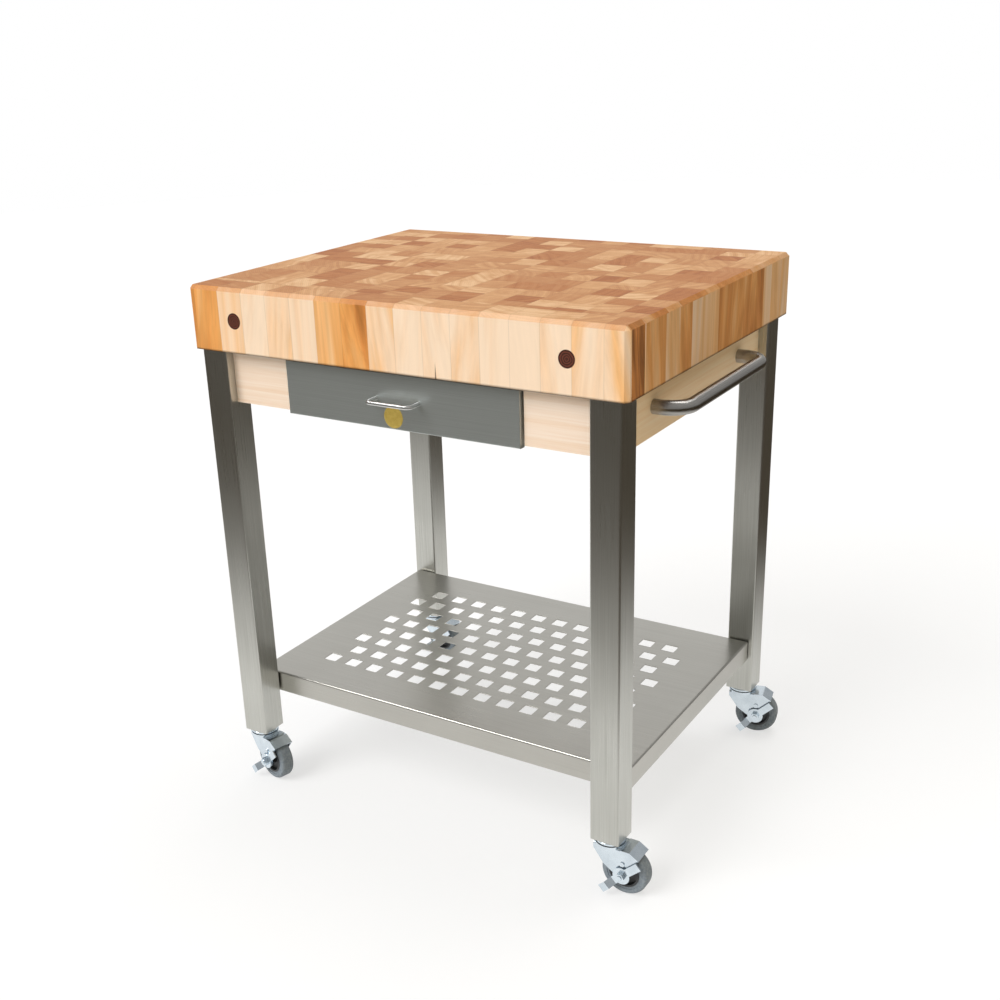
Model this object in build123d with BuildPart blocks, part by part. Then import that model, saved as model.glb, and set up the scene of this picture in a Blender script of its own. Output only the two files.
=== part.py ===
from build123d import *
import os
from math import cos, radians, sin

# Kitchen island cart, in millimetres. It is modelled about the centre of its top, +X to the
# right and +Y to the back, with the floor at Z 0. The last lines move the finished pieces so
# that the origin is at the bottom centre of the whole cart.

# Butcher block top
CART_HEIGHT = 884.0
TOP_WIDTH = 762.0
TOP_DEPTH = 610.0
TOP_THICKNESS = 101.6
TOP_CHAMFER = 6.0

# Steel tie rods through the block, hidden behind round plugs
ROD_INSET = 90.0
ROD_DIAMETER = 9.5
ROD_NUT_ACROSS = 14.3
ROD_NUT_HEIGHT = 8.0
ROD_END = 3.0
ROD_WASHER_DIAMETER = 24.0
ROD_WASHER_GAUGE = 2.0
PLUG_DIAMETER = 25.4
PLUG_DEPTH = 14.0

# Square tube legs
LEG_SIDE = 48.0
LEG_WALL = 1.5
LEG_CORNER = 3.0
LEG_INSET_X = 12.0
LEG_INSET_Y = 6.0
END_PLATE_GAUGE = 5.0
STEM_NUT_ACROSS = 19.0
STEM_NUT_HEIGHT = 10.0

# Maple aprons between the legs
APRON_HEIGHT = 87.0
APRON_THICKNESS = 25.0
APRON_INSET = 17.0

# Corner brackets and wood screws
BRACKET_GAUGE = 3.0
BRACKET_ARM = 62.0
BRACKET_HEIGHT = 56.0
EAR_SCREW_PLACES = (34.0, 51.0)
EAR_SCREW_DROP = 33.5
GUSSET_SCREW_PLACE = 20.5
SCREW_DIAMETER = 4.5
SCREW_LENGTH = 18.0
SCREW_HEAD_DIAMETER = 9.0
SCREW_HEAD_HEIGHT = 2.6
SCREW_HEAD_TAPER = 20.0

# Perforated shelf, a folded tray turned upside down
SHELF_INSET = 9.0
SHELF_TOP = 192.0
SHELF_FLANGE = 37.0
SHELF_LIP = 12.0
SHELF_GAUGE = 1.5
SHELF_BEND = 3.0
SHELF_GAP = 2.5
HOLE_SIDE = 25.4
HOLE_PITCH = 45.0
HOLE_ROWS = 8
HOLE_COLUMNS = 13
BOLT_DIAMETER = 8.0
BOLT_HEAD_ACROSS = 13.0
BOLT_HEAD_HEIGHT = 5.3
BOLT_NUT_HEIGHT = 6.5
BOLT_END = 3.0
SPACER_DIAMETER = 16.0

# Towel bar on the right side
BAR_DIAMETER = 22.0
BAR_WALL = 1.5
BAR_INSET = 90.0
BAR_STANDOFF = 46.0
BAR_BEND = 33.5
BAR_INSERT = 12.0
BAR_SCREW_DIAMETER = 6.0
BAR_SCREW_HEAD_DIAMETER = 12.0
BAR_SCREW_HEAD_HEIGHT = 3.6
PAN_HEAD_TAPER = 15.0

# Drawer and its runners
DRAWER_WIDTH = 416.0
DRAWER_HEIGHT = 85.0
DRAWER_DEPTH = 438.0
DRAWER_PROUD = 7.0
DRAWER_GAP = 3.0
DRAWER_TOP_GAP = 5.4
FRONT_GAUGE = 1.2
FRONT_RETURN = 12.0
FRONT_BEND = 1.5
TRAY_GAUGE = 1.0
TRAY_FLOOR_GAP = 5.0
TRAY_TOP_GAP = 11.4
TRAY_FLANGE = 10.0
RUNNER_GAUGE = 1.2
RUNNER_LENGTH = 435.0
RUNNER_TOP_WEB = 18.0
RUNNER_START = 12.0
RUNNER_SCREW_INSET = 52.0
SLIDE_CLEARANCE = 0.3
TRAY_SIDE_GAP = 2.0
PULL_SPACING = 76.0
PULL_DIAMETER = 6.5
PULL_PROJECTION = 25.75
PULL_BEND = 8.0
PULL_DROP = 40.0
PULL_SCREW_DIAMETER = 4.0
PULL_SCREW_BITE = 9.0
PULL_SCREW_HEAD_DIAMETER = 8.0
PULL_SCREW_HEAD_HEIGHT = 2.4

# Swivel casters with side lever brakes
WHEEL_DIAMETER = 76.0
WHEEL_WIDTH = 24.0
TREAD_DEPTH = 13.0
TREAD_ROUND = 5.0
TREAD_STEP_HEIGHT = 4.0
TREAD_STEP_DEPTH = 1.0
HUB_BOSS_DIAMETER = 19.0
HUB_WEB = 12.0
HUB_RIM = 3.0
WHEEL_TOP_GAP = 2.0
WHEEL_SIDE_GAP = 1.6
CASTER_TRAIL = 28.0
AXLE_DIAMETER = 8.0
AXLE_HEAD_ACROSS = 13.0
AXLE_HEAD_HEIGHT = 5.0
AXLE_NUT_HEIGHT = 6.0
AXLE_END = 1.5
FORK_GAUGE = 2.5
FORK_BEND = 3.0
FORK_LEADING = 22.0
FORK_TRAILING = 24.0
FORK_SKIRT = 9.5
FORK_KNEE_REACH = 33.0
FORK_KNEE_RISE = 9.0
FORK_FOOT_RADIUS = 12.0
RACE_DIAMETER = 48.0
RACE_HEIGHT = 2.5
BALL_DIAMETER = 4.0
BALL_COUNT = 12
BALL_CLEARANCE = 0.1
CUP_DIAMETER = 46.0
CUP_GAUGE = 1.5
CUP_LIP = 4.2
CUP_COLLAR_DIAMETER = 26.0
CUP_COLLAR_HEIGHT = 1.3
STEM_DIAMETER = 12.0
STEM_LENGTH = 30.0
KINGPIN_DIAMETER = 10.0
KINGPIN_HEAD_DIAMETER = 16.0
KINGPIN_HEAD_HEIGHT = 4.0
FLAP_GAUGE = 2.0
FLAP_GAP = 2.0
FLAP_SLOPE = 57.0
FLAP_LENGTH = 18.0
FLAP_BEND = 3.0
FLAP_EAR_WIDTH = 20.0
FLAP_EAR_DROP = 9.0
FLAP_PIN_RISE = 19.0
FLAP_PIN_DIAMETER = 5.0
FLAP_PIN_HEAD = 8.0
FLAP_PIN_HEAD_HEIGHT = 1.6
LEVER_GAUGE = 2.0
LEVER_WIDTH = 13.0
LEVER_HUB_DIAMETER = 28.0
LEVER_ANGLE = 222.0
LEVER_HEEL = 38.0
LEVER_SHANK = 17.0
LEVER_RUN = 10.0
LEVER_TOE = 12.0
LEVER_BEND = 3.0

# Clearances
FIT = 0.1
RUNNING = 0.08
PLAY = 0.3

# How each caster is turned: the way its wheel trails, in degrees from +X
CASTER_TURN = {
    "front_left": -15.0,
    "front_right": 0.0,
    "back_left": -8.0,
    "back_right": 12.0,
}
CORNERS = {
    "front_left": (-1, -1),
    "front_right": (1, -1),
    "back_left": (-1, 1),
    "back_right": (1, 1),
}

# Heights that follow from the sizes above, from the floor up
AXLE_HEIGHT = WHEEL_DIAMETER / 2
FORK_UNDERSIDE = WHEEL_DIAMETER + WHEEL_TOP_GAP
FORK_TOP = FORK_UNDERSIDE + FORK_GAUGE
RACE_TOP = FORK_TOP + RACE_HEIGHT
CUP_UNDERSIDE = RACE_TOP + BALL_DIAMETER + 2 * BALL_CLEARANCE
CUP_TOP = CUP_UNDERSIDE + CUP_GAUGE
LEG_BOTTOM = CUP_TOP + CUP_COLLAR_HEIGHT
TOP_UNDERSIDE = CART_HEIGHT - TOP_THICKNESS
APRON_BOTTOM = TOP_UNDERSIDE - APRON_HEIGHT
ROD_HEIGHT = TOP_UNDERSIDE + TOP_THICKNESS / 2
SHELF_BOLT_HEIGHT = SHELF_TOP - SHELF_FLANGE / 2
BAR_HEIGHT = TOP_UNDERSIDE - APRON_HEIGHT / 2
DRAWER_TOP = TOP_UNDERSIDE - DRAWER_TOP_GAP
DRAWER_BOTTOM = DRAWER_TOP - DRAWER_HEIGHT
TRAY_TOP = TOP_UNDERSIDE - TRAY_TOP_GAP
TRAY_BOTTOM = DRAWER_BOTTOM + TRAY_FLOOR_GAP
PULL_HEIGHT = DRAWER_TOP - PULL_DROP

# Places across the cart
LEG_X = TOP_WIDTH / 2 - LEG_INSET_X - LEG_SIDE / 2
LEG_Y = TOP_DEPTH / 2 - LEG_INSET_Y - LEG_SIDE / 2
LEG_INNER_X = LEG_X - LEG_SIDE / 2
LEG_INNER_Y = LEG_Y - LEG_SIDE / 2
ROD_SPACING = TOP_WIDTH - 2 * ROD_INSET
APRON_FACE_X = LEG_X + LEG_SIDE / 2 - APRON_INSET
APRON_FACE_Y = LEG_Y + LEG_SIDE / 2 - APRON_INSET
APRON_BACK_X = APRON_FACE_X - APRON_THICKNESS
APRON_BACK_Y = APRON_FACE_Y - APRON_THICKNESS
SHELF_FACE_Y = LEG_INNER_Y - SHELF_GAP
SHELF_WIDTH = 2 * (LEG_X + LEG_SIDE / 2 - SHELF_INSET)
SHELF_BOLT_X = (LEG_INNER_X + SHELF_WIDTH / 2) / 2
DRAWER_FACE_Y = -APRON_FACE_Y - DRAWER_PROUD
OPENING_HALF = DRAWER_WIDTH / 2 + DRAWER_GAP
RUNNER_WEB_X = DRAWER_WIDTH / 2
TRAY_FLANGE_X = RUNNER_WEB_X - TRAY_SIDE_GAP
TRAY_HALF = TRAY_FLANGE_X - TRAY_FLANGE
RUNNER_LIP_X = TRAY_HALF + TRAY_SIDE_GAP
RUNNER_FRONT_Y = -APRON_FACE_Y + RUNNER_START
TRAY_FRONT_Y = DRAWER_FACE_Y + FRONT_GAUGE
BAR_X = APRON_FACE_X + BAR_STANDOFF
BAR_SPACING = 2 * (LEG_INNER_Y - BAR_INSET)


def hexagon_radius(across_flats):
    """Corner radius of a hexagon from its width across the flats."""
    return across_flats / 2 / cos(radians(30))


# Where the wood screws sit: (place of the head's seat, direction in which the screw is driven)
EAR_SCREW_HEIGHT = TOP_UNDERSIDE - EAR_SCREW_DROP
RUNNER_SCREW_X = RUNNER_WEB_X - RUNNER_TOP_WEB / 2
screw_seats = {"butcher_block_top": []}
for apron in ("apron_front_left", "apron_front_right", "apron_back", "apron_left", "apron_right"):
    screw_seats[apron] = []
for corner, (side_x, side_y) in CORNERS.items():
    name_x = "apron_right" if side_x > 0 else "apron_left"
    name_y = "apron_back" if side_y > 0 else f"apron_{corner}"
    for along in EAR_SCREW_PLACES:
        ear_x = side_x * (APRON_BACK_X - BRACKET_GAUGE)
        ear_y = side_y * (APRON_BACK_Y - BRACKET_GAUGE)
        along_x = side_x * (LEG_INNER_X - along)
        along_y = side_y * (LEG_INNER_Y - along)
        screw_seats[name_x].append(((ear_x, along_y, EAR_SCREW_HEIGHT), (side_x, 0, 0)))
        screw_seats[name_y].append(((along_x, ear_y, EAR_SCREW_HEIGHT), (0, side_y, 0)))
    gusset_x = side_x * (LEG_INNER_X - GUSSET_SCREW_PLACE)
    gusset_y = side_y * (LEG_INNER_Y - GUSSET_SCREW_PLACE)
    gusset_z = TOP_UNDERSIDE - BRACKET_GAUGE
    screw_seats["butcher_block_top"].append(((gusset_x, gusset_y, gusset_z), (0, 0, 1)))
for side in (-1, 1):
    for along in (RUNNER_SCREW_INSET, RUNNER_LENGTH / 2, RUNNER_LENGTH - RUNNER_SCREW_INSET):
        runner_y = RUNNER_FRONT_Y + along
        seat = (side * RUNNER_SCREW_X, runner_y, TOP_UNDERSIDE - RUNNER_GAUGE)
        screw_seats["butcher_block_top"].append((seat, (0, 0, 1)))


def screw_plane(seat):
    """Plane on a screw head's seat, facing the way the screw is driven."""
    place, direction = seat
    return Plane(origin=place, z_dir=direction)


def bore_screw_holes(seats):
    """Cut the holes of these screws out of the part that is being built."""
    for seat in seats:
        with BuildSketch(screw_plane(seat)) as hole:
            Circle(SCREW_DIAMETER / 2 + FIT)
        extrude(hole.sketch, amount=SCREW_LENGTH + PLAY, mode=Mode.SUBTRACT)


pieces = {}


# Top: an end grain block with chamfered edges, bored from front to back for its tie rods
ROD_PLACES = [(-ROD_SPACING / 2, ROD_HEIGHT), (ROD_SPACING / 2, ROD_HEIGHT)]
ROD_SEAT_DEPTH = PLUG_DEPTH + ROD_END + ROD_NUT_HEIGHT + ROD_WASHER_GAUGE
ROD_SEAT_Y = TOP_DEPTH / 2 - ROD_SEAT_DEPTH
with BuildPart() as top:
    with BuildSketch(Plane.XY.offset(TOP_UNDERSIDE)):
        Rectangle(TOP_WIDTH, TOP_DEPTH)
    extrude(amount=TOP_THICKNESS)
    outer_edges = top.edges().filter_by(Axis.Z) + top.faces().sort_by(Axis.Z)[-1].edges()
    chamfer(outer_edges, TOP_CHAMFER)
    with BuildSketch(Plane.XZ):
        with Locations(ROD_PLACES):
            Circle(ROD_DIAMETER / 2 + PLAY)
    extrude(amount=TOP_DEPTH, both=True, mode=Mode.SUBTRACT)
    for face_y in (-1, 1):
        with BuildSketch(Plane.XZ.offset(-face_y * ROD_SEAT_Y)):
            with Locations(ROD_PLACES):
                Circle(PLUG_DIAMETER / 2 + FIT)
        extrude(amount=-face_y * ROD_SEAT_DEPTH, mode=Mode.SUBTRACT)
    bore_screw_holes(screw_seats["butcher_block_top"])
pieces["butcher_block_top"] = top.part

# Tie rods, with a washer and a nut at each end
with BuildPart() as tie_rods:
    with BuildSketch(Plane.XZ):
        with Locations(ROD_PLACES):
            Circle(ROD_DIAMETER / 2)
    extrude(amount=ROD_SEAT_Y + ROD_WASHER_GAUGE + ROD_NUT_HEIGHT + ROD_END - PLAY, both=True)
    for face_y in (-1, 1):
        with BuildSketch(Plane.XZ.offset(-face_y * ROD_SEAT_Y)):
            with Locations(ROD_PLACES):
                Circle(ROD_WASHER_DIAMETER / 2)
                Circle(ROD_DIAMETER / 2 + FIT, mode=Mode.SUBTRACT)
        extrude(amount=-face_y * ROD_WASHER_GAUGE)
        with BuildSketch(Plane.XZ.offset(-face_y * (ROD_SEAT_Y + ROD_WASHER_GAUGE + FIT))):
            with Locations(ROD_PLACES):
                RegularPolygon(hexagon_radius(ROD_NUT_ACROSS), 6)
                Circle(ROD_DIAMETER / 2 + FIT, mode=Mode.SUBTRACT)
        extrude(amount=-face_y * (ROD_NUT_HEIGHT - FIT))
pieces["tie_rods"] = tie_rods.part

# Plugs of dark wood that close the rod holes, flush with the front and back of the block
with BuildPart() as plugs:
    for face_y in (-1, 1):
        with BuildSketch(Plane.XZ.offset(-face_y * TOP_DEPTH / 2)):
            with Locations(ROD_PLACES):
                Circle(PLUG_DIAMETER / 2)
        extrude(amount=face_y * (PLUG_DEPTH - PLAY))
pieces["rod_plugs"] = plugs.part


# Legs: square steel tubes, each with a bolt hole in the wall that faces the shelf
for corner, (side_x, side_y) in CORNERS.items():
    with BuildPart() as leg:
        with BuildSketch(Plane((side_x * LEG_X, side_y * LEG_Y, LEG_BOTTOM))):
            RectangleRounded(LEG_SIDE, LEG_SIDE, LEG_CORNER)
            inner_side = LEG_SIDE - 2 * LEG_WALL
            RectangleRounded(inner_side, inner_side, LEG_CORNER - LEG_WALL, mode=Mode.SUBTRACT)
        extrude(amount=TOP_UNDERSIDE - LEG_BOTTOM)
        bolt_place = (side_x * SHELF_BOLT_X, side_y * LEG_INNER_Y, SHELF_BOLT_HEIGHT)
        with BuildSketch(Plane(origin=bolt_place, x_dir=(1, 0, 0), z_dir=(0, side_y, 0))):
            Circle(BOLT_DIAMETER / 2 + FIT)
        extrude(amount=LEG_WALL, mode=Mode.SUBTRACT)
    pieces[f"leg_{corner}"] = leg.part

# End plates welded into the feet of the legs, with a nut for the caster's stem
LEG_PLACES = [(side_x * LEG_X, side_y * LEG_Y) for side_x, side_y in CORNERS.values()]
with BuildPart() as end_plates:
    with BuildSketch(Plane.XY.offset(LEG_BOTTOM)):
        with Locations(LEG_PLACES):
            plate_side = LEG_SIDE - 2 * LEG_WALL - 2 * FIT
            RectangleRounded(plate_side, plate_side, LEG_CORNER - LEG_WALL)
    extrude(amount=END_PLATE_GAUGE)
    with BuildSketch(Plane.XY.offset(LEG_BOTTOM + END_PLATE_GAUGE)):
        with Locations(LEG_PLACES):
            RegularPolygon(hexagon_radius(STEM_NUT_ACROSS), 6)
    extrude(amount=STEM_NUT_HEIGHT)
    with BuildSketch(Plane.XY.offset(LEG_BOTTOM)):
        with Locations(LEG_PLACES):
            Circle(STEM_DIAMETER / 2 + FIT)
    extrude(amount=END_PLATE_GAUGE + STEM_NUT_HEIGHT, mode=Mode.SUBTRACT)
pieces["leg_end_plates"] = end_plates.part


# Aprons: maple boards between the legs, the front one in two lengths beside the drawer
def make_apron(name, centre, length_x, length_y):
    """A maple board under the top, with the holes of the screws that hold it."""
    with BuildPart() as board:
        with BuildSketch(Plane((centre[0], centre[1], APRON_BOTTOM))):
            Rectangle(length_x, length_y)
        extrude(amount=APRON_HEIGHT)
        if name == "apron_right":
            with BuildSketch(Plane.YZ.offset(APRON_BACK_X)):
                with Locations((-BAR_SPACING / 2, BAR_HEIGHT), (BAR_SPACING / 2, BAR_HEIGHT)):
                    Circle(BAR_SCREW_DIAMETER / 2 + FIT)
            extrude(amount=APRON_THICKNESS, mode=Mode.SUBTRACT)
        bore_screw_holes(screw_seats[name])
    pieces[name] = board.part


APRON_MID_X = APRON_FACE_X - APRON_THICKNESS / 2
APRON_MID_Y = APRON_FACE_Y - APRON_THICKNESS / 2
STUB_LENGTH = LEG_INNER_X - OPENING_HALF
STUB_X = OPENING_HALF + STUB_LENGTH / 2
make_apron("apron_front_left", (-STUB_X, -APRON_MID_Y), STUB_LENGTH, APRON_THICKNESS)
make_apron("apron_front_right", (STUB_X, -APRON_MID_Y), STUB_LENGTH, APRON_THICKNESS)
make_apron("apron_back", (0, APRON_MID_Y), 2 * LEG_INNER_X, APRON_THICKNESS)
make_apron("apron_left", (-APRON_MID_X, 0), APRON_THICKNESS, 2 * LEG_INNER_Y)
make_apron("apron_right", (APRON_MID_X, 0), APRON_THICKNESS, 2 * LEG_INNER_Y)

# Corner brackets: a gusset under the top with an ear on each apron, set against the leg
with BuildPart() as brackets:
    for side_x, side_y in CORNERS.values():
        near_x = side_x * (LEG_INNER_X - PLAY)
        near_y = side_y * (LEG_INNER_Y - PLAY)
        ear_x = side_x * (APRON_BACK_X - BRACKET_GAUGE)
        ear_y = side_y * (APRON_BACK_Y - BRACKET_GAUGE)
        far_x = side_x * (LEG_INNER_X - BRACKET_ARM)
        far_y = side_y * (LEG_INNER_Y - BRACKET_ARM)
        back_x = side_x * APRON_BACK_X
        back_y = side_y * APRON_BACK_Y
        with BuildSketch(Plane.XY.offset(TOP_UNDERSIDE - BRACKET_GAUGE)):
            with BuildLine():
                Polyline(
                    (near_x, back_y),
                    (far_x, back_y),
                    (far_x, ear_y),
                    (ear_x, far_y),
                    (back_x, far_y),
                    (back_x, near_y),
                    (near_x, near_y),
                    close=True,
                )
            make_face()
        extrude(amount=BRACKET_GAUGE)
        with BuildSketch(Plane.XY.offset(TOP_UNDERSIDE - BRACKET_HEIGHT)):
            with Locations(((near_x + far_x) / 2, (back_y + ear_y) / 2)):
                Rectangle(abs(near_x - far_x), BRACKET_GAUGE)
            with Locations(((back_x + ear_x) / 2, (near_y + far_y) / 2)):
                Rectangle(BRACKET_GAUGE, abs(near_y - far_y))
        extrude(amount=BRACKET_HEIGHT)
    for seats in screw_seats.values():
        for seat in seats:
            with BuildSketch(screw_plane(seat)):
                Circle(SCREW_DIAMETER / 2 + FIT)
            extrude(amount=BRACKET_GAUGE, mode=Mode.SUBTRACT)
pieces["corner_brackets"] = brackets.part

# Wood screws of the corner brackets and the drawer runners
with BuildPart() as screws:
    for seats in screw_seats.values():
        for seat in seats:
            with BuildSketch(screw_plane(seat)):
                Circle(SCREW_DIAMETER / 2)
            extrude(amount=SCREW_LENGTH)
            with BuildSketch(screw_plane(seat)):
                Circle(SCREW_HEAD_DIAMETER / 2)
            extrude(amount=-SCREW_HEAD_HEIGHT, taper=SCREW_HEAD_TAPER)
pieces["wood_screws"] = screws.part


# Shelf: sheet steel folded down on all four sides and in again, with staggered square holes
SHELF_DEPTH = 2 * SHELF_FACE_Y
SHELF_BOLTS = [
    (side_x * SHELF_BOLT_X, side_y * SHELF_FACE_Y, SHELF_BOLT_HEIGHT, side_y)
    for side_x, side_y in CORNERS.values()
]
with BuildPart() as shelf:
    with BuildSketch(Plane.XY.offset(SHELF_TOP)):
        Rectangle(SHELF_WIDTH, SHELF_DEPTH)
    extrude(amount=-SHELF_FLANGE)
    fillet(shelf.faces().sort_by(Axis.Z)[-1].edges(), SHELF_BEND)
    with BuildSketch(Plane.XY.offset(SHELF_TOP - SHELF_GAUGE)):
        Rectangle(SHELF_WIDTH - 2 * SHELF_GAUGE, SHELF_DEPTH - 2 * SHELF_GAUGE)
    extrude(amount=-(SHELF_FLANGE - 2 * SHELF_GAUGE), mode=Mode.SUBTRACT)
    with BuildSketch(Plane.XY.offset(SHELF_TOP - SHELF_GAUGE)):
        lip_reach = SHELF_GAUGE + SHELF_LIP
        Rectangle(SHELF_WIDTH - 2 * lip_reach, SHELF_DEPTH - 2 * lip_reach)
    extrude(amount=-SHELF_FLANGE, mode=Mode.SUBTRACT)
    with BuildSketch(Plane.XY.offset(SHELF_TOP)):
        with Locations((0, -HOLE_PITCH / 2)):
            with GridLocations(HOLE_PITCH, 2 * HOLE_PITCH, HOLE_COLUMNS, HOLE_ROWS // 2):
                Rectangle(HOLE_SIDE, HOLE_SIDE)
        with Locations((0, HOLE_PITCH / 2)):
            with GridLocations(HOLE_PITCH, 2 * HOLE_PITCH, HOLE_COLUMNS - 1, HOLE_ROWS // 2):
                Rectangle(HOLE_SIDE, HOLE_SIDE)
    extrude(amount=-SHELF_GAUGE, mode=Mode.SUBTRACT)
    for bolt_x, bolt_y, bolt_z, side_y in SHELF_BOLTS:
        with BuildSketch(Plane((bolt_x, bolt_y, bolt_z), x_dir=(1, 0, 0), z_dir=(0, -side_y, 0))):
            Circle(BOLT_DIAMETER / 2 + FIT)
        extrude(amount=SHELF_GAUGE, mode=Mode.SUBTRACT)
pieces["shelf"] = shelf.part

# Bolts, spacers and nuts that hold the shelf to the legs
with BuildPart() as shelf_bolts:
    for bolt_x, bolt_y, bolt_z, side_y in SHELF_BOLTS:
        head_y = bolt_y - side_y * SHELF_GAUGE
        with BuildSketch(Plane((bolt_x, head_y, bolt_z), x_dir=(1, 0, 0), z_dir=(0, side_y, 0))):
            Circle(BOLT_DIAMETER / 2)
        extrude(amount=SHELF_GAUGE + SHELF_GAP + LEG_WALL + BOLT_NUT_HEIGHT + BOLT_END)
        with BuildSketch(Plane((bolt_x, head_y, bolt_z), x_dir=(1, 0, 0), z_dir=(0, side_y, 0))):
            RegularPolygon(hexagon_radius(BOLT_HEAD_ACROSS), 6)
        extrude(amount=-BOLT_HEAD_HEIGHT)
pieces["shelf_bolts"] = shelf_bolts.part
with BuildPart() as spacers:
    for bolt_x, bolt_y, bolt_z, side_y in SHELF_BOLTS:
        with BuildSketch(Plane((bolt_x, bolt_y, bolt_z), x_dir=(1, 0, 0), z_dir=(0, side_y, 0))):
            Circle(SPACER_DIAMETER / 2)
            Circle(BOLT_DIAMETER / 2 + FIT, mode=Mode.SUBTRACT)
        extrude(amount=SHELF_GAP)
pieces["shelf_spacers"] = spacers.part
with BuildPart() as shelf_nuts:
    for bolt_x, bolt_y, bolt_z, side_y in SHELF_BOLTS:
        nut_y = bolt_y + side_y * (SHELF_GAP + LEG_WALL)
        with BuildSketch(Plane((bolt_x, nut_y, bolt_z), x_dir=(1, 0, 0), z_dir=(0, side_y, 0))):
            RegularPolygon(hexagon_radius(BOLT_HEAD_ACROSS), 6)
            Circle(BOLT_DIAMETER / 2 + FIT, mode=Mode.SUBTRACT)
        extrude(amount=BOLT_NUT_HEIGHT)
pieces["shelf_nuts"] = shelf_nuts.part


# Towel bar: a bent steel tube that ends square on the right apron
BAR_ENDS = [(-BAR_SPACING / 2, BAR_HEIGHT), (BAR_SPACING / 2, BAR_HEIGHT)]
with BuildPart() as towel_bar:
    with BuildLine():
        bar_line = FilletPolyline(
            (APRON_FACE_X, -BAR_SPACING / 2, BAR_HEIGHT),
            (BAR_X, -BAR_SPACING / 2, BAR_HEIGHT),
            (BAR_X, BAR_SPACING / 2, BAR_HEIGHT),
            (APRON_FACE_X, BAR_SPACING / 2, BAR_HEIGHT),
            radius=BAR_BEND,
        )
    with BuildSketch(Plane(origin=bar_line @ 0, z_dir=bar_line % 0)):
        Circle(BAR_DIAMETER / 2)
        Circle(BAR_DIAMETER / 2 - BAR_WALL, mode=Mode.SUBTRACT)
    sweep()
pieces["towel_bar"] = towel_bar.part

# Threaded inserts in the ends of the towel bar, and the screws that come through the apron
with BuildPart() as bar_inserts:
    with BuildSketch(Plane.YZ.offset(APRON_FACE_X)):
        with Locations(BAR_ENDS):
            Circle(BAR_DIAMETER / 2 - BAR_WALL - FIT)
            Circle(BAR_SCREW_DIAMETER / 2 + FIT, mode=Mode.SUBTRACT)
    extrude(amount=BAR_INSERT)
pieces["towel_bar_inserts"] = bar_inserts.part
with BuildPart() as bar_screws:
    with BuildSketch(Plane.YZ.offset(APRON_BACK_X)):
        with Locations(BAR_ENDS):
            Circle(BAR_SCREW_DIAMETER / 2)
    extrude(amount=APRON_THICKNESS + BAR_INSERT)
    with BuildSketch(Plane.YZ.offset(APRON_BACK_X)):
        with Locations(BAR_ENDS):
            Circle(BAR_SCREW_HEAD_DIAMETER / 2)
    extrude(amount=-BAR_SCREW_HEAD_HEIGHT, taper=PAN_HEAD_TAPER)
pieces["towel_bar_screws"] = bar_screws.part


# Drawer runners: steel channels screwed under the top, open towards the drawer
LIP_TOP = TRAY_TOP - TRAY_GAUGE - SLIDE_CLEARANCE
LIP_BOTTOM = LIP_TOP - RUNNER_GAUGE
for side, name in ((-1, "runner_left"), (1, "runner_right")):
    with BuildPart() as runner:
        with BuildSketch(Plane.XZ.offset(-RUNNER_FRONT_Y)):
            with BuildLine():
                outer_x = side * (RUNNER_WEB_X + RUNNER_GAUGE)
                inner_x = side * RUNNER_WEB_X
                Polyline(
                    (side * (RUNNER_WEB_X - RUNNER_TOP_WEB), TOP_UNDERSIDE),
                    (outer_x, TOP_UNDERSIDE),
                    (outer_x, LIP_BOTTOM),
                    (side * RUNNER_LIP_X, LIP_BOTTOM),
                    (side * RUNNER_LIP_X, LIP_TOP),
                    (inner_x, LIP_TOP),
                    (inner_x, TOP_UNDERSIDE - RUNNER_GAUGE),
                    (side * (RUNNER_WEB_X - RUNNER_TOP_WEB), TOP_UNDERSIDE - RUNNER_GAUGE),
                    close=True,
                )
            make_face()
        extrude(amount=-RUNNER_LENGTH)
        for seat in screw_seats["butcher_block_top"]:
            with BuildSketch(screw_plane(seat)):
                Circle(SCREW_DIAMETER / 2 + FIT)
            extrude(amount=RUNNER_GAUGE, mode=Mode.SUBTRACT)
    pieces[name] = runner.part

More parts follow.
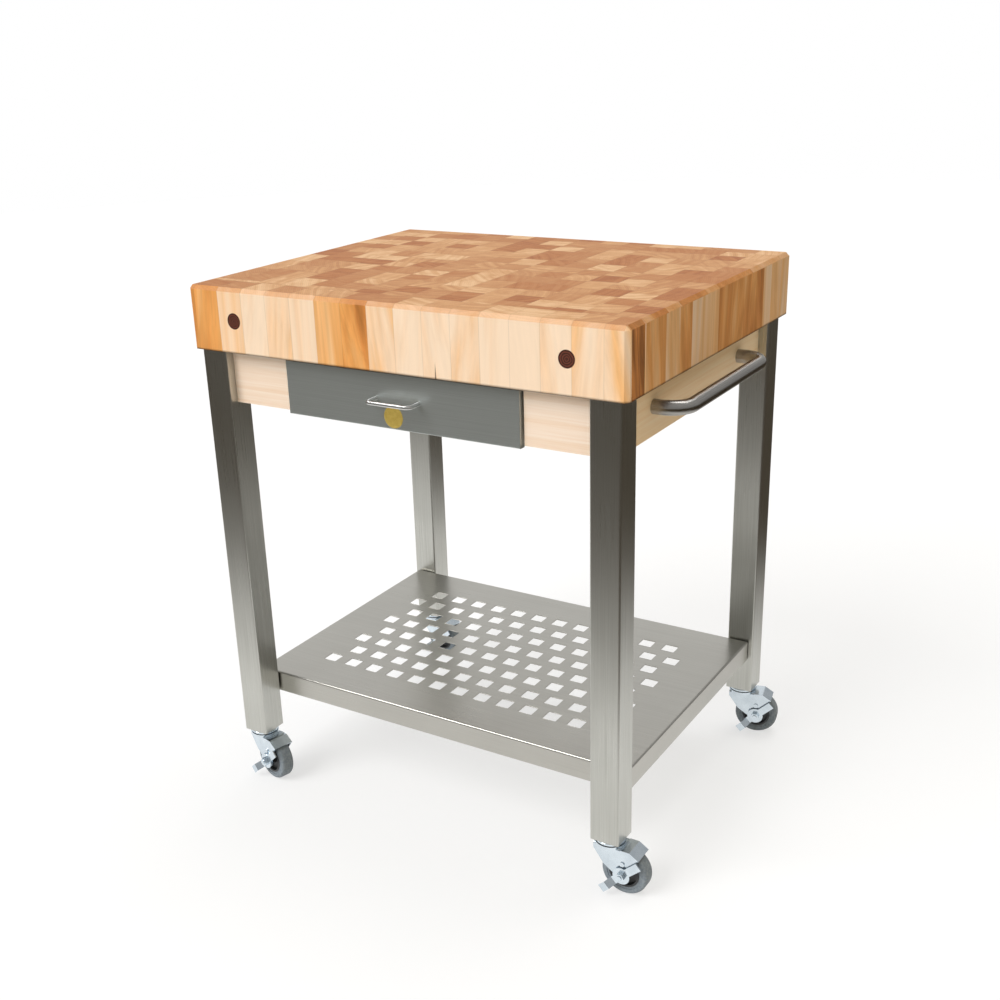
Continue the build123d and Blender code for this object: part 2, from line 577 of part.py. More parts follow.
# Drawer tray: sheet steel, spot welded from a floor, two end walls and two sides whose flanges hang
# on the runners' lips
PULL_PLACES = [(-PULL_SPACING / 2, PULL_HEIGHT), (PULL_SPACING / 2, PULL_HEIGHT)]
TRAY_MID_Y = TRAY_FRONT_Y + DRAWER_DEPTH / 2
TRAY_BACK_Y = TRAY_FRONT_Y + DRAWER_DEPTH
INSIDE_HALF = TRAY_HALF - TRAY_GAUGE
with BuildPart() as tray:
    with BuildSketch(Plane((0, TRAY_MID_Y, TRAY_BOTTOM))):
        Rectangle(2 * (INSIDE_HALF - FIT), DRAWER_DEPTH)
    extrude(amount=TRAY_GAUGE)
    with BuildSketch(Plane.XY.offset(TRAY_BOTTOM + TRAY_GAUGE + FIT)):
        with Locations((0, TRAY_FRONT_Y + TRAY_GAUGE / 2), (0, TRAY_BACK_Y - TRAY_GAUGE / 2)):
            Rectangle(2 * (INSIDE_HALF - FIT), TRAY_GAUGE)
    extrude(amount=TRAY_TOP - TRAY_BOTTOM - TRAY_GAUGE - FIT)
    for side in (-1, 1):
        with BuildSketch(Plane.XZ.offset(-TRAY_FRONT_Y)):
            with BuildLine():
                Polyline(
                    (side * INSIDE_HALF, TRAY_BOTTOM),
                    (side * INSIDE_HALF, TRAY_TOP),
                    (side * TRAY_FLANGE_X, TRAY_TOP),
                    (side * TRAY_FLANGE_X, TRAY_TOP - TRAY_GAUGE),
                    (side * TRAY_HALF, TRAY_TOP - TRAY_GAUGE),
                    (side * TRAY_HALF, TRAY_BOTTOM),
                    close=True,
                )
            make_face()
        extrude(amount=-DRAWER_DEPTH)
    with BuildSketch(Plane.XZ.offset(-TRAY_FRONT_Y)):
        with Locations(PULL_PLACES):
            Circle(PULL_SCREW_DIAMETER / 2 + FIT)
    extrude(amount=-TRAY_GAUGE, mode=Mode.SUBTRACT)
pieces["drawer_tray"] = tray.part

# Drawer front: a steel panel with its four edges folded back around the tray
with BuildPart() as drawer_front:
    with BuildSketch(Plane.XZ.offset(-DRAWER_FACE_Y)):
        with Locations((0, (DRAWER_TOP + DRAWER_BOTTOM) / 2)):
            Rectangle(DRAWER_WIDTH, DRAWER_HEIGHT)
    extrude(amount=-FRONT_RETURN)
    fillet(drawer_front.faces().sort_by(Axis.Y)[0].edges(), FRONT_BEND)
    with BuildSketch(Plane.XZ.offset(-TRAY_FRONT_Y)):
        with Locations((0, (DRAWER_TOP + DRAWER_BOTTOM) / 2)):
            Rectangle(DRAWER_WIDTH - 2 * FRONT_GAUGE, DRAWER_HEIGHT - 2 * FRONT_GAUGE)
    extrude(amount=-FRONT_RETURN, mode=Mode.SUBTRACT)
    with BuildSketch(Plane.XZ.offset(-DRAWER_FACE_Y)):
        with Locations(PULL_PLACES):
            Circle(PULL_SCREW_DIAMETER / 2 + FIT)
    extrude(amount=-FRONT_GAUGE, mode=Mode.SUBTRACT)
pieces["drawer_front"] = drawer_front.part

# Wire pull, bored at its feet for the screws that come through the drawer front
PULL_BAR_Y = DRAWER_FACE_Y - PULL_PROJECTION
with BuildPart() as pull:
    with BuildLine():
        pull_line = FilletPolyline(
            (-PULL_SPACING / 2, DRAWER_FACE_Y, PULL_HEIGHT),
            (-PULL_SPACING / 2, PULL_BAR_Y, PULL_HEIGHT),
            (PULL_SPACING / 2, PULL_BAR_Y, PULL_HEIGHT),
            (PULL_SPACING / 2, DRAWER_FACE_Y, PULL_HEIGHT),
            radius=PULL_BEND,
        )
    with BuildSketch(Plane(origin=pull_line @ 0, z_dir=pull_line % 0)):
        Circle(PULL_DIAMETER / 2)
    sweep()
    with BuildSketch(Plane.XZ.offset(-DRAWER_FACE_Y)):
        with Locations(PULL_PLACES):
            Circle(PULL_SCREW_DIAMETER / 2 + FIT)
    extrude(amount=PULL_SCREW_BITE + PLAY, mode=Mode.SUBTRACT)
pieces["drawer_pull"] = pull.part
PULL_SEAT_Y = TRAY_FRONT_Y + TRAY_GAUGE
with BuildPart() as pull_screws:
    with BuildSketch(Plane.XZ.offset(-PULL_SEAT_Y)):
        with Locations(PULL_PLACES):
            Circle(PULL_SCREW_DIAMETER / 2)
    extrude(amount=TRAY_GAUGE + FRONT_GAUGE + PULL_SCREW_BITE)
    with BuildSketch(Plane.XZ.offset(-PULL_SEAT_Y)):
        with Locations(PULL_PLACES):
            Circle(PULL_SCREW_HEAD_DIAMETER / 2)
    extrude(amount=-PULL_SCREW_HEAD_HEIGHT, taper=PAN_HEAD_TAPER)
pieces["drawer_pull_screws"] = pull_screws.part


# Caster pieces, about the swivel axis with the wheel trailing along +X.
# Widths across the caster: each layer lies outside the one before it.
FORK_INNER = WHEEL_WIDTH / 2 + WHEEL_SIDE_GAP
FORK_OUTER = FORK_INNER + FORK_GAUGE
EAR_INNER = FORK_OUTER + PLAY
EAR_OUTER = EAR_INNER + FLAP_GAUGE
PIN_HEAD_INNER = EAR_OUTER + FIT
LEVER_INNER = PIN_HEAD_INNER + FLAP_PIN_HEAD_HEIGHT + PLAY
LEVER_OUTER = LEVER_INNER + LEVER_GAUGE
AXLE_NUT_SEAT = LEVER_OUTER + PLAY

# Stem, bearing cup and kingpin: one turned and pressed piece, screwed into the leg
with BuildPart() as stem:
    with BuildSketch(Plane.XZ):
        with BuildLine():
            Polyline(
                (0, LEG_BOTTOM + STEM_LENGTH),
                (STEM_DIAMETER / 2, LEG_BOTTOM + STEM_LENGTH),
                (STEM_DIAMETER / 2, LEG_BOTTOM),
                (CUP_COLLAR_DIAMETER / 2, LEG_BOTTOM),
                (CUP_COLLAR_DIAMETER / 2, CUP_TOP),
                (CUP_DIAMETER / 2 - CUP_GAUGE, CUP_TOP),
                (CUP_DIAMETER / 2, CUP_TOP - CUP_GAUGE),
                (CUP_DIAMETER / 2, CUP_TOP - CUP_LIP),
                (CUP_DIAMETER / 2 - CUP_GAUGE, CUP_TOP - CUP_LIP),
                (CUP_DIAMETER / 2 - CUP_GAUGE, CUP_UNDERSIDE),
                (KINGPIN_DIAMETER / 2, CUP_UNDERSIDE),
                (KINGPIN_DIAMETER / 2, FORK_UNDERSIDE - PLAY),
                (KINGPIN_HEAD_DIAMETER / 2, FORK_UNDERSIDE - PLAY),
                (KINGPIN_DIAMETER / 2, FORK_UNDERSIDE - PLAY - KINGPIN_HEAD_HEIGHT),
                (0, FORK_UNDERSIDE - PLAY - KINGPIN_HEAD_HEIGHT),
                close=True,
            )
        make_face()
    revolve(axis=Axis.Z)

# Bearing balls between the cup and the fork's race
BALL_CIRCLE = (RACE_DIAMETER + KINGPIN_DIAMETER) / 4 + BALL_DIAMETER / 2
with BuildPart() as balls:
    with Locations((0, 0, RACE_TOP + BALL_CLEARANCE + BALL_DIAMETER / 2)):
        with PolarLocations(BALL_CIRCLE, BALL_COUNT):
            Sphere(BALL_DIAMETER / 2)

# Fork: pressed steel, with the lower race on its crown and the pins of the brake flap
FOOT_REACH = FORK_FOOT_RADIUS * cos(radians(45))
FOOT_BOTTOM = radians(67.5)
FLAP_PIN = (CASTER_TRAIL, AXLE_HEIGHT + FLAP_PIN_RISE)
with BuildPart() as fork:
    with BuildSketch(Plane.XZ):
        with BuildLine():
            Polyline(
                (CASTER_TRAIL - FOOT_REACH, AXLE_HEIGHT - FOOT_REACH),
                (CASTER_TRAIL - FORK_KNEE_REACH, AXLE_HEIGHT + FORK_KNEE_RISE),
                (-FORK_LEADING, FORK_TOP - FORK_SKIRT),
                (-FORK_LEADING, FORK_TOP),
                (FORK_TRAILING, FORK_TOP),
                (FORK_TRAILING, FORK_TOP - FLAP_GAUGE - PLAY),
                (CASTER_TRAIL + FORK_FOOT_RADIUS, FLAP_PIN[1]),
                (CASTER_TRAIL + FORK_FOOT_RADIUS, AXLE_HEIGHT),
            )
            ThreePointArc(
                (CASTER_TRAIL + FORK_FOOT_RADIUS, AXLE_HEIGHT),
                (
                    CASTER_TRAIL + FORK_FOOT_RADIUS * cos(FOOT_BOTTOM),
                    AXLE_HEIGHT - FORK_FOOT_RADIUS * sin(FOOT_BOTTOM),
                ),
                (CASTER_TRAIL - FOOT_REACH, AXLE_HEIGHT - FOOT_REACH),
            )
        make_face()
    extrude(amount=FORK_OUTER, both=True)
    crown = fork.faces().sort_by(Axis.Z)[-1]
    fillet(crown.edges().filter_by(Axis.X), FORK_BEND)
    with BuildSketch(Plane.XY.offset(FORK_TOP)):
        Circle(RACE_DIAMETER / 2)
    extrude(amount=-FORK_GAUGE)
    with BuildSketch(Plane.XZ):
        with Locations((CASTER_TRAIL, FORK_UNDERSIDE / 2)):
            Rectangle(4 * CASTER_TRAIL, FORK_UNDERSIDE)
    extrude(amount=FORK_INNER, both=True, mode=Mode.SUBTRACT)
    with BuildSketch(Plane.XY.offset(FORK_TOP)):
        Circle(RACE_DIAMETER / 2)
    extrude(amount=RACE_HEIGHT)
    with BuildSketch(Plane.XY.offset(FORK_UNDERSIDE)):
        Circle(KINGPIN_DIAMETER / 2 + RUNNING)
    extrude(amount=FORK_GAUGE + RACE_HEIGHT, mode=Mode.SUBTRACT)
    with BuildSketch(Plane.XZ):
        with Locations((CASTER_TRAIL, AXLE_HEIGHT)):
            Circle(AXLE_DIAMETER / 2 + FIT)
    extrude(amount=FORK_OUTER, both=True, mode=Mode.SUBTRACT)
    for side in (-1, 1):
        with BuildSketch(Plane.XZ.offset(side * FORK_OUTER)):
            with Locations(FLAP_PIN):
                Circle(FLAP_PIN_DIAMETER / 2)
        extrude(amount=side * (PIN_HEAD_INNER - FORK_OUTER))
        with BuildSketch(Plane.XZ.offset(side * PIN_HEAD_INNER)):
            with Locations(FLAP_PIN):
                Circle(FLAP_PIN_HEAD / 2)
        extrude(amount=side * FLAP_PIN_HEAD_HEIGHT)

# Axle: a hexagon bolt with its nut outside the brake lever
with BuildPart() as axle:
    with BuildSketch(Plane.XZ.offset(-FORK_OUTER)):
        with Locations((CASTER_TRAIL, AXLE_HEIGHT)):
            Circle(AXLE_DIAMETER / 2)
    extrude(amount=FORK_OUTER + AXLE_NUT_SEAT + AXLE_NUT_HEIGHT + AXLE_END)
    with BuildSketch(Plane.XZ.offset(-FORK_OUTER)):
        with Locations((CASTER_TRAIL, AXLE_HEIGHT)):
            RegularPolygon(hexagon_radius(AXLE_HEAD_ACROSS), 6)
    extrude(amount=-AXLE_HEAD_HEIGHT)
    with BuildSketch(Plane.XZ.offset(AXLE_NUT_SEAT)):
        with Locations((CASTER_TRAIL, AXLE_HEIGHT)):
            RegularPolygon(hexagon_radius(AXLE_HEAD_ACROSS), 6)
            Circle(AXLE_DIAMETER / 2 + FIT, mode=Mode.SUBTRACT)
    extrude(amount=AXLE_NUT_HEIGHT)

# Wheel: a moulded hub with a web between boss and rim, and a soft tread around it that steps in
# beside the rim
HUB_RADIUS = WHEEL_DIAMETER / 2 - TREAD_DEPTH
BOSS_HALF = FORK_INNER - PLAY
with BuildPart() as hub:
    with BuildSketch(Plane.XY.offset(AXLE_HEIGHT)):
        with BuildLine():
            Polyline(
                (CASTER_TRAIL + AXLE_DIAMETER / 2 + RUNNING, -BOSS_HALF),
                (CASTER_TRAIL + HUB_BOSS_DIAMETER / 2, -BOSS_HALF),
                (CASTER_TRAIL + HUB_BOSS_DIAMETER / 2, -HUB_WEB / 2),
                (CASTER_TRAIL + HUB_RADIUS - HUB_RIM, -HUB_WEB / 2),
                (CASTER_TRAIL + HUB_RADIUS - HUB_RIM, -WHEEL_WIDTH / 2),
                (CASTER_TRAIL + HUB_RADIUS, -WHEEL_WIDTH / 2),
                (CASTER_TRAIL + HUB_RADIUS, WHEEL_WIDTH / 2),
                (CASTER_TRAIL + HUB_RADIUS - HUB_RIM, WHEEL_WIDTH / 2),
                (CASTER_TRAIL + HUB_RADIUS - HUB_RIM, HUB_WEB / 2),
                (CASTER_TRAIL + HUB_BOSS_DIAMETER / 2, HUB_WEB / 2),
                (CASTER_TRAIL + HUB_BOSS_DIAMETER / 2, BOSS_HALF),
                (CASTER_TRAIL + AXLE_DIAMETER / 2 + RUNNING, BOSS_HALF),
                close=True,
            )
        make_face()
    revolve(axis=Axis((CASTER_TRAIL, 0, AXLE_HEIGHT), (0, 1, 0)))
with BuildPart() as tread:
    with BuildSketch(Plane.XY.offset(AXLE_HEIGHT)) as tread_section:
        with Locations((CASTER_TRAIL + HUB_RADIUS + TREAD_DEPTH / 2, 0)):
            Rectangle(TREAD_DEPTH, WHEEL_WIDTH)
        for side_y in (-WHEEL_WIDTH / 2, WHEEL_WIDTH / 2):
            with Locations((CASTER_TRAIL + HUB_RADIUS, side_y)):
                Rectangle(2 * TREAD_STEP_HEIGHT, 2 * TREAD_STEP_DEPTH, mode=Mode.SUBTRACT)
        fillet(tread_section.vertices().group_by(Axis.X)[-1], TREAD_ROUND)
    revolve(axis=Axis((CASTER_TRAIL, 0, AXLE_HEIGHT), (0, 1, 0)))

# Brake flap: a bent plate over the wheel with an ear on each side, hung on the fork's pins
FLAP_LINE = FORK_TOP - FLAP_GAUGE / 2
FLAP_START = FORK_TRAILING + PLAY
FLAP_REACH = WHEEL_DIAMETER / 2 + FLAP_GAP + FLAP_GAUGE / 2
slope_x, slope_z = cos(radians(FLAP_SLOPE)), sin(radians(FLAP_SLOPE))
FLAP_CORNER = CASTER_TRAIL + (FLAP_REACH - (FLAP_LINE - AXLE_HEIGHT) * slope_z) / slope_x
FLAP_END = (FLAP_CORNER + FLAP_LENGTH * slope_z, FLAP_LINE - FLAP_LENGTH * slope_x)
with BuildPart() as flap:
    with BuildSketch(Plane.XZ):
        with BuildLine():
            FilletPolyline(
                (FLAP_START, FLAP_LINE), (FLAP_CORNER, FLAP_LINE), FLAP_END, radius=FLAP_BEND
            )
        trace(line_width=FLAP_GAUGE)
    extrude(amount=EAR_OUTER, both=True)
    for side in (-1, 1):
        with BuildSketch(Plane.XZ.offset(side * EAR_INNER)):
            with BuildLine():
                ear_front = FLAP_PIN[0] - FLAP_EAR_WIDTH / 2
                ear_back = FLAP_PIN[0] + FLAP_EAR_WIDTH / 2
                ear_bottom = FLAP_PIN[1] - FLAP_EAR_DROP
                Polyline(
                    (ear_front, FLAP_LINE),
                    (ear_front, ear_bottom),
                    (ear_back, ear_bottom),
                    FLAP_END,
                    (FLAP_CORNER, FLAP_LINE),
                    close=True,
                )
            make_face()
            with Locations(FLAP_PIN):
                Circle(FLAP_PIN_DIAMETER / 2 + RUNNING, mode=Mode.SUBTRACT)
        extrude(amount=side * FLAP_GAUGE)

# Brake lever: a rocker on the axle whose long end is bent outwards as a foot tab
lever_x, lever_z = cos(radians(LEVER_ANGLE)), sin(radians(LEVER_ANGLE))
LEVER_LINE = -(LEVER_INNER + LEVER_GAUGE / 2)
LEVER_PLANE = Plane(
    origin=(CASTER_TRAIL, 0, AXLE_HEIGHT),
    x_dir=(lever_x, 0, lever_z),
    z_dir=(-lever_z, 0, lever_x),
)
with BuildPart() as lever:
    with BuildSketch(LEVER_PLANE):
        with BuildLine():
            FilletPolyline(
                (-LEVER_HEEL, LEVER_LINE),
                (LEVER_SHANK, LEVER_LINE),
                (LEVER_SHANK + LEVER_RUN, LEVER_LINE - LEVER_RUN),
                (LEVER_SHANK + LEVER_RUN + LEVER_TOE, LEVER_LINE - LEVER_RUN),
                radius=LEVER_BEND,
            )
        trace(line_width=LEVER_GAUGE)
    extrude(amount=LEVER_WIDTH / 2, both=True)
    with BuildSketch(Plane.XZ.offset(LEVER_INNER)):
        with Locations((CASTER_TRAIL, AXLE_HEIGHT)):
            Circle(LEVER_HUB_DIAMETER / 2)
    extrude(amount=LEVER_GAUGE)
    with BuildSketch(Plane.XZ.offset(LEVER_INNER)):
        with Locations((CASTER_TRAIL, AXLE_HEIGHT)):
            Circle(AXLE_DIAMETER / 2 + RUNNING)
    extrude(amount=LEVER_GAUGE, mode=Mode.SUBTRACT)

# One set of caster pieces under each leg, turned the way its wheel trails
CASTER_PIECES = {
    "caster_stem": stem,
    "caster_fork": fork,
    "caster_axle": axle,
    "wheel_hub": hub,
    "wheel_tread": tread,
    "brake_flap": flap,
    "brake_lever": lever,
}
ball_sets = []
for corner, (side_x, side_y) in CORNERS.items():
    place = Location((side_x * LEG_X, side_y * LEG_Y, 0), (0, 0, CASTER_TURN[corner]))
    for name, piece in CASTER_PIECES.items():
        pieces[f"{name}_{corner}"] = piece.part.moved(place)
    ball_sets.extend(ball.moved(place) for ball in balls.part.solids())
pieces["caster_balls"] = Compound(ball_sets)

# Move the origin to the bottom centre of the whole cart, and write each piece
boxes = [piece.bounding_box() for piece in pieces.values()]
CENTRE_X = (min(box.min.X for box in boxes) + max(box.max.X for box in boxes)) / 2
CENTRE_Y = (min(box.min.Y for box in boxes) + max(box.max.Y for box in boxes)) / 2
os.makedirs("parts", exist_ok=True)
for name, piece in pieces.items():
    placed = piece.moved(Location((-CENTRE_X, -CENTRE_Y, 0)))
    placed.label = name
    export_step(placed, f"parts/{name}.step")
print(f"{len(pieces)} pieces, centre moved by {CENTRE_X:.3f} and {CENTRE_Y:.3f}")
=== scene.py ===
import math
import bpy
import bmesh
from mathutils import Matrix, Vector


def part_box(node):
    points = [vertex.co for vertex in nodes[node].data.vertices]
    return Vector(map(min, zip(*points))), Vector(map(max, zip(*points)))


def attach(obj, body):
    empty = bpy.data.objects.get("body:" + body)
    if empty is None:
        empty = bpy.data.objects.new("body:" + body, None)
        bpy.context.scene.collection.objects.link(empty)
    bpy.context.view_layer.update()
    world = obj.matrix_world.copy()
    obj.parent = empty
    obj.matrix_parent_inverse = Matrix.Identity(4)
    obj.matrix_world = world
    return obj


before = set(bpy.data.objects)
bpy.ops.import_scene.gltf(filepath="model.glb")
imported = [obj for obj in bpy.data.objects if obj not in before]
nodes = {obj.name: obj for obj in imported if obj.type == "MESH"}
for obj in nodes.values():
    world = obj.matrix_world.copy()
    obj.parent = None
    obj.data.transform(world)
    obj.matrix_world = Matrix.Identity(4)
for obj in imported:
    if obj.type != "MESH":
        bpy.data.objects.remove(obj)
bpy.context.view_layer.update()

scene = bpy.context.scene

# Butcher block: hard maple staves stood on end and glued up in columns from front to back, so the
# top is end grain and the sides show the staves' long grain. Sanded flush, chamfered and oiled.
MM = 0.001
COLUMNS_ACROSS = 16
STAVE_DEPTH = 46 * MM
STAVE_UNEVENNESS = 0.85
LANE_STEP = 83.0
FRONT_ROW_DEPTH = 53 * MM
FRONT_ROW_SHIFT = 12.6 * MM
FRONT_ROW_LANE = 40.37
FRONT_TONE = 0.4
# Staves behind the front row: darker and browner, partly their own tone, partly painted shade for the shaded
# right side
SIDE_TONES_WITH_SHADE = (0.2, 0.76)
BROWN_FRONT_COLUMNS = (-8.5, -2.5)
BROWN_TONE = 0.38
HEARTWOOD_COLUMN = 7
HEARTWOOD_Y = -275 * MM
HEARTWOOD_HALF_WIDTH = 20 * MM
HEARTWOOD_TONE = 0.66
HEARTWOOD_LEAN = 0.12
HEARTWOOD_LINE = 1.3 * MM
GLUE_LINE = 0.5 * MM
GLUE_SHADE = 0.84
HEART_DISTANCE = 0.5
RING_WIDTH = 3.2 * MM
RING_SHADE = 0.045
RING_GROUP = 10 * MM
RING_GROUP_TONE = 0.14
RING_WOBBLE = 2.2 * MM
RING_WOBBLE_SIZE = 14 * MM
STREAK_WIDTH = 4.0 * MM
STREAK_LENGTH = 240 * MM
BAND_WIDTH = 24 * MM
BAND_LENGTH = 700 * MM
BAND_TONE = 0.22
GRAIN_LEAN = 0.32
GRAIN_SHIFT = 3.0
CHECK_PLACE = 81 * MM
CHECK_WIDTH = 1.3 * MM
CHECK_HEIGHT = 25 * MM
# Painted shadow along the block's lower edge: its height and its darkest level
PAINTED_SHADOW_HEIGHT = 3.2 * MM
PAINTED_SHADOW_LEVEL = 0.12
EASED_OIL = 0.3
PORE_SIZE = 1.8 * MM
PORE_RELIEF = 0.2 * MM
block_low, block_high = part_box("butcher_block_top")
block_middle = (block_low + block_high) / 2
column_width = (block_high.x - block_low.x) / COLUMNS_ACROSS
front_row_back = block_low.y - block_middle.y + FRONT_ROW_DEPTH


def linear(hex_colour):
    """An sRGB hex colour as linear RGBA."""
    values = [int(hex_colour[i:i + 2], 16) / 255 for i in (1, 3, 5)]
    return tuple(v / 12.92 if v <= 0.04045 else ((v + 0.055) / 1.055) ** 2.4 for v in values) + (1.0,)


def add(tree, kind, inputs=None, **settings):
    """Add a node with its settings, then set or link its inputs, and give back its first output."""
    node = tree.nodes.new(kind)
    for name, value in settings.items():
        setattr(node, name, value)
    for socket, value in (inputs or {}).items():
        if isinstance(value, bpy.types.NodeSocket):
            tree.links.new(value, node.inputs[socket])
        elif isinstance(value, list):
            ramp = node.color_ramp.elements
            while len(ramp) < len(value):
                ramp.new(1.0)
            for stop, (position, hex_colour) in zip(ramp, value):
                stop.position = position
                stop.color = linear(hex_colour)
        else:
            node.inputs[socket].default_value = value
    return next((output for output in node.outputs if output.enabled), None)


def start_material(name, **sockets):
    """A new material with its shader, and the object coordinates that its patterns read."""
    material = bpy.data.materials.new(name)
    material.use_nodes = True
    tree = material.node_tree
    tree.nodes.clear()
    surface = add(tree, "ShaderNodeBsdfPrincipled", {key.replace("_", " "): v for key, v in sockets.items()})
    add(tree, "ShaderNodeOutputMaterial", {"Surface": surface})
    coordinates = tree.nodes.new("ShaderNodeTexCoord").outputs["Object"]
    return material, tree, surface.node.inputs, coordinates


def paint(material, *names):
    """Put a material on CAD nodes."""
    for name in names:
        nodes[name].data.materials.clear()
        nodes[name].data.materials.append(material)


# Oiled maple: every stave has its own tone, its cut end drinks more oil and turns browner than its
# side, growth rings cross the end, fine streaks run down the side and glue lines are just darker. A
# painted shadow darkens the lower edge and the underside, where the block overhangs.
oiled_maple, tree, sockets, coordinates = start_material("oiled_end_grain_maple", IOR=1.48,
                                                          Specular_IOR_Level=0.3)
place = add(tree, "ShaderNodeVectorMath", {0: coordinates, 1: block_middle}, operation="SUBTRACT")
axes = add(tree, "ShaderNodeSeparateXYZ", {0: place}).node.outputs
in_front_row = add(tree, "ShaderNodeMath", {0: axes["Y"], 1: front_row_back}, operation="LESS_THAN")
shifted = add(tree, "ShaderNodeMath", {0: in_front_row, 1: -FRONT_ROW_SHIFT, 2: axes["X"]},
              operation="MULTIPLY_ADD")
across = add(tree, "ShaderNodeMath", {0: shifted, 1: column_width}, operation="DIVIDE")
column = add(tree, "ShaderNodeMath", {0: across}, operation="FLOOR")
along = add(tree, "ShaderNodeMath", {0: axes["Y"], 1: STAVE_DEPTH}, operation="DIVIDE")
row = add(tree, "ShaderNodeMix", {0: in_front_row, 2: along, 3: FRONT_ROW_LANE}, data_type="FLOAT")
lane = add(tree, "ShaderNodeMath", {0: column, 1: LANE_STEP, 2: row}, operation="MULTIPLY_ADD")
cell = {"W": lane, "Scale": 1.0, "Randomness": STAVE_UNEVENNESS}
stave = add(tree, "ShaderNodeTexVoronoi", cell, voronoi_dimensions="1D").node.outputs
seam = add(tree, "ShaderNodeTexVoronoi", cell, voronoi_dimensions="1D", feature="DISTANCE_TO_EDGE")
dice = add(tree, "ShaderNodeSeparateColor", {0: stave["Color"]}).node.outputs

# Growth rings on the cut ends: circles about a heart that lies well outside each stave
heart = add(tree, "ShaderNodeVectorMath", {0: stave["Color"], 1: (0.5, 0.5, 0.5)}, operation="SUBTRACT")
heart = add(tree, "ShaderNodeVectorMath", {0: heart, "Scale": HEART_DISTANCE}, operation="SCALE")
from_heart = add(tree, "ShaderNodeVectorMath", {0: place, 1: heart}, operation="ADD")
flat_heart = add(tree, "ShaderNodeVectorMath", {0: from_heart, 1: (1.0, 1.0, 0.0)}, operation="MULTIPLY")
wobble = add(tree, "ShaderNodeTexNoise", {"Vector": flat_heart, "Scale": 1 / RING_WOBBLE_SIZE,
                                          "Detail": 2.0})
reach = add(tree, "ShaderNodeVectorMath", {0: flat_heart}, operation="LENGTH")
ring_place = add(tree, "ShaderNodeMath", {0: wobble, 1: RING_WOBBLE, 2: reach}, operation="MULTIPLY_ADD")
ring_turn = add(tree, "ShaderNodeMath", {0: ring_place, 1: math.tau / RING_WIDTH}, operation="MULTIPLY")
rings = add(tree, "ShaderNodeMath", {0: ring_turn}, operation="SINE")
ring_groups = add(tree, "ShaderNodeTexNoise", {"W": ring_place, "Scale": 1 / RING_GROUP, "Detail": 3.0},
                  noise_dimensions="1D")
pores = add(tree, "ShaderNodeTexNoise", {"Vector": flat_heart, "Scale": 1 / PORE_SIZE, "Detail": 3.0})

# Fine streaks and broad bands down the sides of the staves, drawn out along the grain, which leans its
# own way in each stave
lean_turn = add(tree, "ShaderNodeMath", {0: dice["Blue"], 1: 0.5}, operation="SUBTRACT")
lean_turn = add(tree, "ShaderNodeMath", {0: lean_turn, 1: GRAIN_LEAN}, operation="MULTIPLY")
lean_shift = add(tree, "ShaderNodeMath", {0: lean_turn, 1: axes["Z"]}, operation="MULTIPLY")
lean_shift = add(tree, "ShaderNodeCombineXYZ", {"X": lean_shift, "Y": lean_shift})
leaning = add(tree, "ShaderNodeVectorMath", {0: place, 1: lean_shift}, operation="ADD")
shift = add(tree, "ShaderNodeVectorMath", {0: stave["Color"], "Scale": GRAIN_SHIFT}, operation="SCALE")
grain_size = (1 / STREAK_WIDTH, 1 / STREAK_WIDTH, 1 / STREAK_LENGTH)
grain_place = add(tree, "ShaderNodeVectorMath", {0: leaning, 1: grain_size, 2: shift},
                  operation="MULTIPLY_ADD")
streaks = add(tree, "ShaderNodeTexNoise", {"Vector": grain_place, "Scale": 0.55, "Detail": 4.0,
                                           "Roughness": 0.62, "Distortion": 0.35})
band_size = (1 / BAND_WIDTH, 1 / BAND_WIDTH, 1 / BAND_LENGTH)
band_place = add(tree, "ShaderNodeVectorMath", {0: leaning, 1: band_size, 2: shift}, operation="MULTIPLY_ADD")
bands = add(tree, "ShaderNodeTexNoise", {"Vector": band_place, "Scale": 1.0, "Detail": 2.0})

# Tone of each stave: the front row is pale but for two brown pairs, and one stave of dark heartwood
# with a leaning streak stands at the front right corner
brown = None
for middle_column in BROWN_FRONT_COLUMNS:
    here = add(tree, "ShaderNodeMath", {0: column, 1: middle_column, 2: 0.6}, operation="COMPARE")
    brown = here if brown is None else add(tree, "ShaderNodeMath", {0: brown, 1: here}, operation="ADD")
front_tone = add(tree, "ShaderNodeMath", {0: dice["Red"], 1: FRONT_TONE}, operation="MULTIPLY")
front_tone = add(tree, "ShaderNodeMath", {0: brown, 1: BROWN_TONE, 2: front_tone}, operation="MULTIPLY_ADD")
last_column = add(tree, "ShaderNodeMath", {0: column, 1: HEARTWOOD_COLUMN, 2: 0.1}, operation="COMPARE")
near_corner = add(tree, "ShaderNodeMath", {0: axes["Y"], 1: HEARTWOOD_Y, 2: HEARTWOOD_HALF_WIDTH},
                  operation="COMPARE")
heartwood = add(tree, "ShaderNodeMath", {0: last_column, 1: near_corner}, operation="MULTIPLY")
front_tone = add(tree, "ShaderNodeMath", {0: heartwood, 1: HEARTWOOD_TONE, 2: front_tone},
                 operation="MULTIPLY_ADD")
